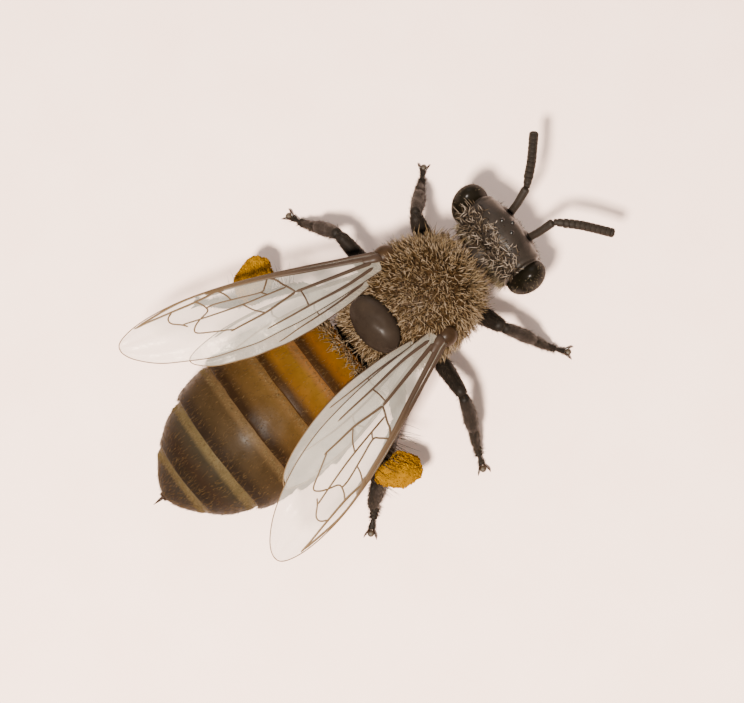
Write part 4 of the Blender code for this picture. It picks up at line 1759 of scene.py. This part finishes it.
@dataclass
class Abdomen:
    """Six overlapping barrels of plate, each tucked under the one before, on one full outline."""

    half_width: float = 2.46
    half_height: float = 2.0
    belly: float = 0.86  # depth of the lower half as a share of the upper
    widest: float = 0.45
    droop: float = 1.05  # how far the tail hangs below the waist
    waist_height: float = 2.62  # of the middle, above the floor
    inside: float = 0.975  # the skin lies this far inside the ends of the hair
    around: int = 200
    # Share of a plate's length, and its size there: tucked in front, and turned in at the hind edge.
    profile: tuple[tuple[float, float], ...] = (
        (-0.16, 0.9), (-0.1, 0.93), (0.0, 0.948), (0.12, 0.962), (0.3, 0.98), (0.5, 0.992), (0.7, 1.0),
        (0.85, 1.003), (0.94, 1.002), (0.98, 0.998), (1.0, 0.99), (1.003, 0.98), (0.98, 0.968), (0.92, 0.955),
    )
    amber_plates: int = 4  # the rest are dark
    band_depths: tuple[float, ...] = (0, 0.05, 0.065, 0.085, 0.1, 0.12)  # shares of each plate's length
    waist_hairs: int = 5200
    band_hairs: int = 9500
    thin_hairs: int = 2200
    shag: Coat = Coat(0.3, 0.0125, 0.45, 0.35, 0.2, 0.3)
    felt: Coat = Coat(0.12, 0.006, 0.08, 0.22, 0.05, 0.3, steps=SHORT)
    thin: Coat = Coat(0.14, 0.0048, 0.15, 0.22, 0.1, 0.35, steps=SHORT)

    def __post_init__(self) -> None:
        """Read from the frame where each plate starts and ends."""
        self.spans = []
        for number in range(1, 7):
            low, high = corners(f"abdomen_{number}")
            self.spans.append((low[1], high[1]))
        self.front, self.rear = self.spans[0][0], self.spans[-1][1]

    def outline(self, y: Array) -> tuple[Array, Array]:
        """The outline from the side and from above.

        Args:
            y: places along the body.

        Returns:
            Size, from 0 to 1, and height of the middle.
        """
        share = np.clip((y - self.front) / (self.rear - self.front), 0, 1)
        waist = 0.62 * np.clip(1 - share / self.widest, 0, 1) ** 2.4
        tail = 0.985 * np.clip((share - self.widest) / (1 - self.widest), 0, 1) ** 2.1
        size = (1 - waist - tail) ** 0.62
        return size, self.waist_height - self.droop * share**1.5

    def plate(self, number: int) -> Skin:
        """One plate of the back together with its plate of the belly.

        Args:
            number: which one, from 0 at the waist.

        Returns:
            Its skin, with values along and low.
        """
        first, last = self.spans[number]
        table = curve_through(self.profile, 64)
        if number == 0:
            table = table[table[:, 0] >= 0.0]
        if number == len(self.spans) - 1:
            table = table[: np.argmax(table[:, 0] > 0.985)]
        y = first + (last - first) * table[:, 0]
        size, middle = self.outline(y)
        size = size * table[:, 1] * self.inside
        angle = np.linspace(0, math.tau, self.around, endpoint=False)
        deep = np.where(np.sin(angle) > 0, 1.0, self.belly)
        x = self.half_width * size[:, None] * np.cos(angle)
        z = middle[:, None] + self.half_height * size[:, None] * deep * np.sin(angle)
        low = smooth(-np.sin(angle), 0.3, 0.5)
        # Below, plates hang square to the body. On the back their hind edges bow a little towards the tail.
        bow = 0.1 * (last - first) * np.cos(angle) ** 2 * (1 - low)
        rings = np.stack([x, y[:, None] - bow[None], z], axis=-1)
        skin = Skin(rings, {"along": np.repeat(np.clip(table[:, :1], 0, 1), self.around, axis=1),
                            "low": np.repeat(low[None], len(y), axis=0)})
        seam = hill(-np.sin(angle), 0.36, 0.05)
        height = -0.035 * low - 0.02 * seam + 0.012 * ripple(rings, 0.9, 11 + number)
        height = height * smooth(table[:, 0], -0.1, 0.1)[:, None]
        return skin.pushed(height)

    def sting(self) -> Surface:
        """The tip of the sting between two blunt feelers.

        Returns:
            All three.
        """
        low, high = corners("sting")
        start = np.array([0, low[1] + 0.1, (low[2] + high[2]) / 2 + 0.05])
        end = np.array([0, high[1] - 0.01, low[2] + 0.17])
        shape = [(0, 0.09, 0.08), (0.5, 0.05, 0.045), (1, 0.01, 0.01)]
        parts = [segment([start, (start + end) / 2, end], shape, UP, 30, 20, (0.05, 0.05)).surface()]
        for side in Side:
            aside = mirror([0.1, 0, 0.03], side)
            stub = segment([start + aside, (start + end) / 2 + aside * 0.9 - (end - start) * 0.12],
                           [(0, 0.06, 0.05), (1, 0.05, 0.04)], UP, 20, 16)
            parts.append(stub.surface())
        return Surface.joined(parts)

    def coat(self, skins: Sequence[Skin]) -> dict[str, tuple[Surface, BeeHair]]:
        """The hair of the abdomen.

        Args:
            skins: its plates, from the waist to the tail.

        Returns:
            Surfaces and their finishes, by name.
        """
        lie = BACK - UP * 0.12
        shags, felts, thins = [], [], []
        for number, skin in enumerate(skins):
            tile = Tile(number, 2, 3)
            first, last = self.spans[number]

            def share(points: Array, first: float = first, last: float = last) -> Array:
                """How far along the plate places lie."""
                return (points[:, 1] - first) / (last - first)

            def waist(points: Array, normals: Array) -> Array:
                """The share of shaggy hairs, which thin out down the first plate."""
                return smooth(normals[:, 2], -0.5, 0) * (1 - smooth(share(points), 0.12, 0.4))

            def band(points: Array, normals: Array, depth: float = self.band_depths[number]) -> Array:
                """The share of felt hairs, in a band across the plate's front."""
                start = smooth(share(points), -0.08, 0.0) * smooth(normals[:, 2], -0.35, 0.1)
                return (1 - smooth(share(points), depth * 0.6, depth * 1.5)) * start

            def all_over(points: Array, normals: Array) -> Array:
                """The share of thin hairs, which are closer together towards the hind margin."""
                u = share(points)
                return smooth(u, 0.0, 0.1) * (1 - smooth(u, 0.93, 0.97)) * (0.45 + 0.55 * smooth(u, 0.5, 0.9))

            if number == 0:
                roots = skin.roots(self.waist_hairs, tile, waist)
                shags.append(self.shag.grow(roots, lie + UP * 0.3))
            else:
                roots = skin.roots(self.band_hairs, tile, band)
                felts.append(self.felt.grow(roots, lie))
            thins.append(self.thin.grow(skin.roots(self.thin_hairs, tile, all_over), lie))
        return {
            "hair_waist": (Surface.joined(shags), TAN_HAIR),
            "hair_bands": (Surface.joined(felts), BAND_HAIR),
            "hair_abdomen": (Surface.joined(thins), BODY_HAIR),
        }

    def build(self) -> None:
        """Show the abdomen, its sting and its hair."""
        skins = [self.plate(number) for number in range(len(self.spans))]
        for number, skin in enumerate(skins):
            slot = "abdomen_amber" if number < self.amber_plates else "abdomen_dark"
            node = f"abdomen_{number + 1}"
            skin.surface().piece(f"abdomen_plate_{number + 1}", PLATES[number], slot, [node])
        self.sting().piece("sting_tip", CLAW_SHELL, "shiny_cuticle", ["sting"])
        for name, (surface, finish) in self.coat(skins).items():
            surface.piece(name, finish, "abdomen_amber")


# --- legs ---


class Pair(Enum):
    """A pair of legs."""

    FRONT = "front"
    MIDDLE = "middle"
    HIND = "hind"


@dataclass(frozen=True)
class LegShape:
    """How wide and thick the lengths of a leg are, in millimetres."""

    coxa: Stations
    femur: Stations
    tibia: Stations
    basitarsus: Stations
    heel: tuple[float, float]  # share of the way from ankle to toe, and height as a share of the ankle's
    joint: float = 0.13  # half width of the small joints of the foot


LEG_SHAPES = {
    Pair.FRONT: LegShape(
        coxa=((0, 0.36, 0.34), (0.5, 0.34, 0.32), (1, 0.22, 0.2)),
        femur=((0, 0.17, 0.16), (0.12, 0.2, 0.18), (0.4, 0.33, 0.27), (0.75, 0.28, 0.23), (1, 0.19, 0.17)),
        tibia=((0, 0.17, 0.16), (0.3, 0.24, 0.19), (0.75, 0.29, 0.2), (1, 0.22, 0.17)),
        basitarsus=((0, 0.14, 0.12), (0.25, 0.19, 0.13), (0.8, 0.18, 0.12), (1, 0.13, 0.1)),
        heel=(0.41, 0.4),
    ),
    Pair.MIDDLE: LegShape(
        coxa=((0, 0.36, 0.36), (0.5, 0.34, 0.32), (1, 0.22, 0.2)),
        femur=((0, 0.17, 0.16), (0.12, 0.2, 0.18), (0.4, 0.32, 0.26), (0.75, 0.27, 0.22), (1, 0.19, 0.17)),
        tibia=((0, 0.17, 0.16), (0.3, 0.24, 0.19), (0.8, 0.32, 0.21), (1, 0.24, 0.18)),
        basitarsus=((0, 0.16, 0.12), (0.25, 0.25, 0.13), (0.75, 0.25, 0.12), (1, 0.15, 0.1)),
        heel=(0.43, 0.4),
        joint=0.14,
    ),
    Pair.HIND: LegShape(
        coxa=((0, 0.38, 0.36), (0.5, 0.36, 0.34), (1, 0.23, 0.21)),
        femur=((0, 0.18, 0.17), (0.12, 0.22, 0.19), (0.4, 0.34, 0.26), (0.75, 0.31, 0.23), (1, 0.2, 0.17)),
        tibia=((0, 0.17, 0.14), (0.2, 0.26, 0.15), (0.6, 0.46, 0.15), (0.9, 0.56, 0.14), (1, 0.44, 0.12)),
        basitarsus=(
            (0, 0.26, 0.12), (0.15, 0.4, 0.15), (0.55, 0.42, 0.15), (0.85, 0.34, 0.13), (1, 0.2, 0.1),
        ),
        heel=(0.52, 0.37),
        joint=0.15,
    ),
}


@dataclass
class Leg:
    """One leg, from the hip to the claws."""

    pair: Pair
    side: Side
    trochanter_shape: Stations = ((0, 0.17, 0.16), (0.6, 0.21, 0.19), (1, 0.16, 0.15))
    foot_joint: Stations = ((0, 0.55, 0.7), (0.7, 1.0, 1.0), (1, 0.95, 0.9))  # shares of the joint's own size
    last_joint: Stations = ((0, 0.5, 0.7), (0.6, 0.85, 1.0), (1, 1.05, 1.1))
    claw_shape: Stations = ((0, 0.042, 0.04), (0.6, 0.03, 0.03), (1, 0.01, 0.01))
    tooth_shape: Stations = ((0, 0.022, 0.022), (1, 0.007, 0.007))
    comb_step: float = 0.13  # from one row of bristles to the next, in millimetres
    fringe_hairs: int = 1500
    down: Coat = Coat(0.17, 0.0055, 0.25, 0.2, 0.12, 0.35, steps=SHORT)
    brush: Coat = Coat(0.13, 0.006, 0.35, 0.12, 0.1, 0.2, steps=SHORT)
    fringe: Coat = Coat(0.62, 0.01, 0.55, 0.12, 0.35, 0.25)

    def __post_init__(self) -> None:
        """Read its joints from the frame."""
        label = f"{self.pair.value}_{self.side.word}"
        self.nodes = [f"{part}_{label}" for part in ("coxa", "femur", "tibia", "tarsus")]
        coxa, femur, tibia, tarsus = self.nodes
        self.shape = LEG_SHAPES[self.pair]
        self.trochanter = meeting(coxa, femur)
        self.hip = far_end(coxa, self.trochanter)
        self.knee = meeting(femur, tibia)
        self.ankle = meeting(tibia, tarsus)
        self.toe = far_end(tarsus, self.ankle, 0.05) * LEVEL
        run = self.ankle - self.knee
        aside = unit(np.array([run[1], -run[0], 0.0])) * self.side.value
        self.outward = unit(aside + 0.45 * UP)
        share, height = self.shape.heel
        self.heel = self.ankle + (self.toe - self.ankle) * share
        self.heel[2] = self.ankle[2] * height
        self.ahead = unit((self.toe - self.heel) * LEVEL)

    def foot(self) -> list[Skin]:
        """The small joints of the foot, from the heel to the last one, which bears the claws.

        Returns:
            Their skins.
        """
        end = self.toe - self.ahead * 0.1 + UP * 0.13
        start = self.heel
        bends = [start * 0.62 + end * 0.38 - UP * 0.05, start * 0.3 + end * 0.7 - UP * 0.03]
        path = curve_through([start, *bends, end], 300)
        path[:, 2] = np.maximum(path[:, 2], 0.1)
        skins = []
        # Where each joint starts and ends, as shares of the foot, and how wide it is next to the first.
        for first, last, size in ((0.0, 0.2, 1.0), (0.2, 0.38, 0.92), (0.38, 0.54, 0.86), (0.54, 1.0, 0.72)):
            inside = path[int(first * 299) : int(last * 299) - 3]
            wide = self.shape.joint * size
            table = self.last_joint if last == 1 else self.foot_joint
            stations = [(share, wide * across, wide * 0.62 * deep) for share, across, deep in table]
            line = [inside[0], inside[len(inside) // 2], inside[-1]]
            skins.append(segment(line, stations, UP, 24, 20, (0.15, 0.12)))
        return skins

    def claws(self) -> tuple[list[Surface], Surface]:
        """Two forked claws that hook down to the floor, and the soft pad between them.

        Returns:
            The claws and their teeth, and the pad.
        """
        ahead = self.ahead
        aside = np.cross(UP, ahead)
        base = self.toe - ahead * 0.1 + UP * 0.12
        hooks = []
        for sign in (-1, 1):
            start = base + aside * 0.05 * sign
            middle = base + ahead * 0.15 + aside * 0.15 * sign + UP * 0.04
            tip = base + ahead * 0.27 + aside * 0.2 * sign
            tip[2] = 0.012
            claw = segment([start, middle, tip], self.claw_shape, UP, 28, 14, (0.05, 0.04))
            point = base + ahead * 0.17 + aside * 0.12 * sign
            point[2] = 0.03
            tooth = segment([middle - ahead * 0.03, point], self.tooth_shape, UP, 16, 12, (0.05, 0.05))
            hooks += [claw.surface(), tooth.surface()]
        pad = ball(base + ahead * 0.12 - UP * 0.055, (0.1, 0.1, 0.075), 26, 36)
        pad.rings[..., 2] = np.maximum(pad.rings[..., 2], 0.001)
        return hooks, pad.surface()

    def lengths(self) -> dict[str, Skin]:
        """The long parts of the leg.

        Returns:
            Their skins, by name.
        """
        shape, out = self.shape, self.outward
        seam = unit(self.knee - self.trochanter)
        root = self.trochanter + seam * 0.2
        sag = UP * 0.06
        shin = unit(self.ankle - self.knee)
        hip = [self.hip, self.trochanter - seam * 0.02]
        ring = [self.trochanter - seam * 0.1, root + seam * 0.04]
        thigh = [root, (root + self.knee) / 2 + sag, self.knee + seam * 0.02]
        calf = [self.knee + shin * 0.03, (self.knee + self.ankle) / 2 + out * 0.02, self.ankle]
        heel = [self.ankle, (self.ankle + self.heel) / 2 + UP * 0.01, self.heel]
        parts = {
            "coxa": segment(hip, shape.coxa, out, 36, 32, (0.12, 0.14)),
            "trochanter": segment(ring, self.trochanter_shape, out, 20, 28, (0.3, 0.3)),
            "femur": segment(thigh, shape.femur, out, 56, 36, (0.05, 0.08)),
            "tibia": segment(calf, shape.tibia, out, 60, 44, (0.07, 0.06)),
            "basitarsus": segment(heel, shape.basitarsus, out, 44, 36, (0.16, 0.2)),
        }
        if self.pair is Pair.HIND:
            parts["tibia"] = self.basket(parts["tibia"])
        return parts

    def basket(self, tibia: Skin) -> Skin:
        """Hollow the outer face of the hind shin for pollen.

        Args:
            tibia: the shin's skin.

        Returns:
            The hollowed skin.
        """
        normals = tibia.normals()
        rows = np.linspace(0, 1, len(tibia.rings))[:, None]
        faces = np.clip(normals @ self.outward, 0, 1)
        dip = 0.05 * smooth(faces, 0.75, 1.0) * smooth(rows, 0.2, 0.4) * smooth(0.97 - rows, 0, 0.1)
        return Skin(tibia.rings - normals * dip[..., None])

    def coat(self, parts: dict[str, Skin], foot: Sequence[Skin], tile: Tile) -> list[Surface]:
        """The leg's hair.

        Args:
            parts: its long parts.
            foot: its small joints.
            tile: its part of the bake map.

        Returns:
            The hairs.
        """

        def basket(points: Array, normals: Array) -> Array:
            """The share of hairs on the hind shin, whose outer face is nearly bare."""
            return 1 - 0.85 * smooth(normals @ self.outward, 0.3, 0.8)

        hairs = []
        for name, count, start, end in (
            ("coxa", 240, self.hip, self.trochanter), ("femur", 420, self.trochanter, self.knee),
            ("tibia", 520, self.knee, self.ankle), ("basitarsus", 380, self.ankle, self.heel),
        ):
            keep = basket if self.pair is Pair.HIND and name == "tibia" else None
            roots = parts[name].roots(count, tile, keep)
            hairs.append(self.down.grow(roots, unit(end - start) - 0.2 * UP))
        for skin in foot:
            hairs.append(self.brush.grow(skin.roots(70, tile), unit(self.toe - self.heel)))
        hairs.append(self.comb(parts["basitarsus"], tile))
        if self.pair is Pair.HIND:
            hairs.append(self.basket_fringe(parts["tibia"], tile))
        return hairs

    def comb(self, skin: Skin, tile: Tile) -> Surface:
        """Cross rows of short stiff bristles on the inner face of the foot's first joint.

        Args:
            skin: the joint's skin.
            tile: the leg's part of the bake map.

        Returns:
            The bristles.
        """
        count = 2600 if self.pair is Pair.HIND else 900
        roots = skin.roots(count, tile, lambda p, n: smooth(-(n @ self.outward), 0.2, 0.6))
        line = unit(self.heel - self.ankle)
        along = (roots.points - self.ankle) @ line
        return self.brush.grow(roots.kept(np.sin(along * math.tau / self.comb_step) > -0.1), line)

    def basket_fringe(self, skin: Skin, tile: Tile) -> Surface:
        """The long curved hairs along both edges of the hind shin, which hold the load.

        Args:
            skin: the shin's skin.
            tile: the leg's part of the bake map.

        Returns:
            The hairs.
        """
        shin = unit(self.ankle - self.knee)

        def edges(points: Array, normals: Array) -> Array:
            """The share of hairs, which stand along the basket's edges."""
            return hill(normals @ self.outward, 0.25, 0.22) * smooth((points - self.knee) @ shin, 0.2, 0.5)

        roots = skin.roots(self.fringe_hairs, tile, edges)
        roots.normals = unit(roots.normals + 0.35 * self.outward)
        return self.fringe.grow(roots, self.outward + 0.3 * shin)

    def build(self, tile: Tile) -> tuple[list[Surface], Surface, list[Surface]]:
        """Show the leg.

        Args:
            tile: its part of the hair's bake map.

        Returns:
            Its claws, its foot pad and its hair, which are shown together with those of the other legs.
        """
        parts, foot = self.lengths(), self.foot()
        surface = Surface.joined([skin.surface() for skin in (*parts.values(), *foot)])
        surface.piece(f"leg_{self.pair.value}_{self.side.word}", LEG_SHELL, "leg_cuticle", self.nodes)
        hooks, pad = self.claws()
        return hooks, pad, self.coat(parts, foot, tile)


@dataclass
class PollenLoad:
    """A lump of pollen packed across a hind shin, kneaded and studded with loose grains."""

    leg: Leg
    radii: tuple[float, float, float] = (0.71, 0.73, 0.44)  # out from the shin, across it and along it
    along: float = 0.8  # share of the shin from the knee
    out: float = 0.54
    grains: int = 1500

    def lump(self) -> Skin:
        """The kneaded mass.

        Returns:
            Its skin.
        """
        shin = unit(self.leg.ankle - self.leg.knee)
        out = self.leg.outward
        axes = np.stack([out, np.cross(shin, out), shin], axis=1)
        place = self.leg.knee + (self.leg.ankle - self.leg.knee) * self.along + out * self.out
        mass = ball(place, self.radii, 110, 150, axes)
        swell = 0.06 * ripple(mass.rings, 0.85, 21) + 0.03 * ripple(mass.rings, 0.32, 22)
        swell += 0.012 * ripple(mass.rings, 0.12, 23)
        return mass.pushed(swell - 0.02)

    def loose(self, skin: Skin) -> Surface:
        """Single grains stuck on the mass.

        Args:
            skin: the mass.

        Returns:
            The grains, each with twenty faces.
        """
        golden = (1 + math.sqrt(5)) / 2
        corner = unit([(a, b * golden, 0) for a in (-1, 1) for b in (-1, 1)]
                      + [(0, a, b * golden) for a in (-1, 1) for b in (-1, 1)]
                      + [(b * golden, 0, a) for a in (-1, 1) for b in (-1, 1)])
        near = np.linalg.norm(corner[:, None] - corner[None], axis=2) < 1.2
        faces = [(i, j, k) for i in range(12) for j in range(i + 1, 12) for k in range(j + 1, 12)
                 if near[i, j] and near[j, k] and near[i, k]]
        turned = []
        for i, j, k in faces:
            outward = np.dot(np.cross(corner[j] - corner[i], corner[k] - corner[i]), corner[i]) > 0
            turned.append((i, j, k) if outward else (i, k, j))
        roots = skin.roots(self.grains)
        size = RANDOM.uniform(0.018, 0.036, self.grains)
        middle = roots.points + roots.normals * (size * RANDOM.uniform(-0.1, 0.7, self.grains))[:, None]
        points = middle[:, None] + corner[None] * size[:, None, None]
        triangles = np.array(turned)[None] + (np.arange(self.grains) * 12)[:, None, None]
        tint = np.repeat(RANDOM.random(self.grains), 12)
        return Surface(points.reshape(-1, 3), triangles.reshape(-1, 3), {"tint": tint})

    def build(self) -> None:
        """Show the load."""
        skin = self.lump()
        mass = skin.surface()
        mass.values["tint"] = np.full(len(mass.points), 0.4)
        word = self.leg.side.word
        load = Surface.joined([mass, self.loose(skin)])
        load.piece(f"pollen_load_{word}", POLLEN, "pollen", [f"pollen_{word}"])


# --- studio ---


@dataclass
class Studio:
    """A sheet of paper, a broad soft lamp nearly overhead, and the camera. Distances are in millimetres."""

    azimuth: float = 232.95
    elevation: float = 80.0
    distance: float = 61.0
    lens: float = 100.0
    aim_right: float = -1.446  # from the thorax's middle to what the camera looks at, across the picture
    aim_up: float = -1.608
    paper_half: float = 1500.0
    key_place: tuple[float, float, float] = (-18.0, 33.0, 87.0)  # from the thorax's middle
    side_place: tuple[float, float, float] = (70.0, -50.0, 45.0)
    sky_colour: str = "#F4F1EC"
    sky_strength: float = 0.72

    def floor(self) -> None:
        """The paper that the bee stands on."""
        half = self.paper_half * MM
        square = [(-half, -half, 0), (half, -half, 0), (half, half, 0), (-half, half, 0)]
        mesh = bpy.data.meshes.new("floor")
        mesh.from_pydata(square, [], [(0, 1, 2, 3)])
        mesh.materials.append(PAPER.material())
        sheet = bpy.data.objects.new("floor", mesh)
        bpy.context.scene.collection.objects.link(sheet)

    def lamp(self, name: str, aim: Array, place: Sequence[float], width: float, watts: float,
             colour: str) -> None:
        """A square soft lamp.

        Args:
            name: its name.
            aim: what it lights.
            place: where it hangs, from there.
            width: its side.
            watts: its power.
            colour: its light, as a hex code.
        """
        light = bpy.data.lights.new(name, "AREA")
        light.shape = "SQUARE"
        light.size = width * MM
        light.energy = watts
        light.color = linear(colour)[:3]
        shown = bpy.data.objects.new(name, light)
        back = unit(place)
        right = unit(np.cross(UP + 0.001 * BACK, back))
        shown.matrix_world = self.matrix(right, back, aim + place)
        bpy.context.scene.collection.objects.link(shown)

    @staticmethod
    def matrix(right: Array, back: Array, place: Array) -> mathutils.Matrix:
        """Where a lamp or camera stands and which way it looks.

        Args:
            right: the way to its right.
            back: the way it looks away from.
            place: where it stands.

        Returns:
            Its matrix in the world.
        """
        turn = np.eye(4)
        turn[:3, :3] = np.stack([right, np.cross(back, right), back], axis=1)
        turn[:3, 3] = place * MM
        return mathutils.Matrix(turn.tolist())

    def camera(self, middle: Array) -> None:
        """The camera.

        Args:
            middle: the thorax's middle.
        """
        around, above = math.radians(self.azimuth), math.radians(self.elevation)
        right = np.array([math.cos(around), math.sin(around), 0.0])
        back = np.cross(right, UP) * math.cos(above) + UP * math.sin(above)
        upward = np.cross(back, right)
        aim = middle + right * self.aim_right + upward * self.aim_up
        data = bpy.data.cameras.new("camera")
        data.lens = self.lens
        data.clip_start = MM
        data.clip_end = 5.0
        shown = bpy.data.objects.new("camera", data)
        shown.matrix_world = self.matrix(right, back, aim + back * self.distance)
        bpy.context.scene.collection.objects.link(shown)
        bpy.context.scene.camera = shown

    def build(self, middle: Array) -> None:
        """Set up the studio.

        Args:
            middle: the thorax's middle.
        """
        self.floor()
        self.lamp("key lamp", middle, self.key_place, width=9.0, watts=0.45, colour="#FFF3E6")
        self.lamp("side lamp", middle, self.side_place, width=60.0, watts=0.03, colour="#F2F5FF")
        self.camera(middle)
        world = bpy.data.worlds.new("sky")
        world.use_nodes = True
        sky = world.node_tree.nodes["Background"]
        feed(sky, {"Color": linear(self.sky_colour), "Strength": self.sky_strength})
        bpy.context.scene.world = world


# --- the bee ---


def build_wings() -> None:
    """Show both pairs of wings."""
    for side in Side:
        Wing("forewing", side, FOREWING_PLAN, FOREWING_FILM, length=7.9, spread=18.5, rise=2.6).build()
        Wing("hindwing", side, HINDWING_PLAN, HINDWING_FILM, length=5.6, spread=12.5, rise=4.2,
             sink=0.1, camber=0.02).build()


def build_legs() -> None:
    """Show the legs with their claws, pads, hair and loads."""
    legs = [Leg(pair, side) for pair in Pair for side in Side]
    hooks, pads, hairs = [], [], []
    for number, leg in enumerate(legs):
        claws, pad, coat = leg.build(Tile(number, 2, 3))
        hooks += claws
        pads.append(pad)
        hairs += coat
        if leg.pair is Pair.HIND:
            PollenLoad(leg).build()
    Surface.joined(hooks).piece("claws", CLAW_SHELL, "leg_cuticle")
    Surface.joined(pads).piece("foot_pads", PAD_SHELL, "leg_cuticle")
    Surface.joined(hairs).piece("hair_legs", DOWN_HAIR, "leg_cuticle")


def main() -> None:
    """Build the bee from head to tail, then the studio."""
    logging.basicConfig(level=logging.INFO, format="%(name)s: %(message)s")
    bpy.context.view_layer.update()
    Head().build()
    thorax = Thorax()
    thorax.build()
    build_wings()
    Abdomen().build()
    build_legs()
    Studio().build(thorax.centre)


if __name__ == "__main__":
    main()
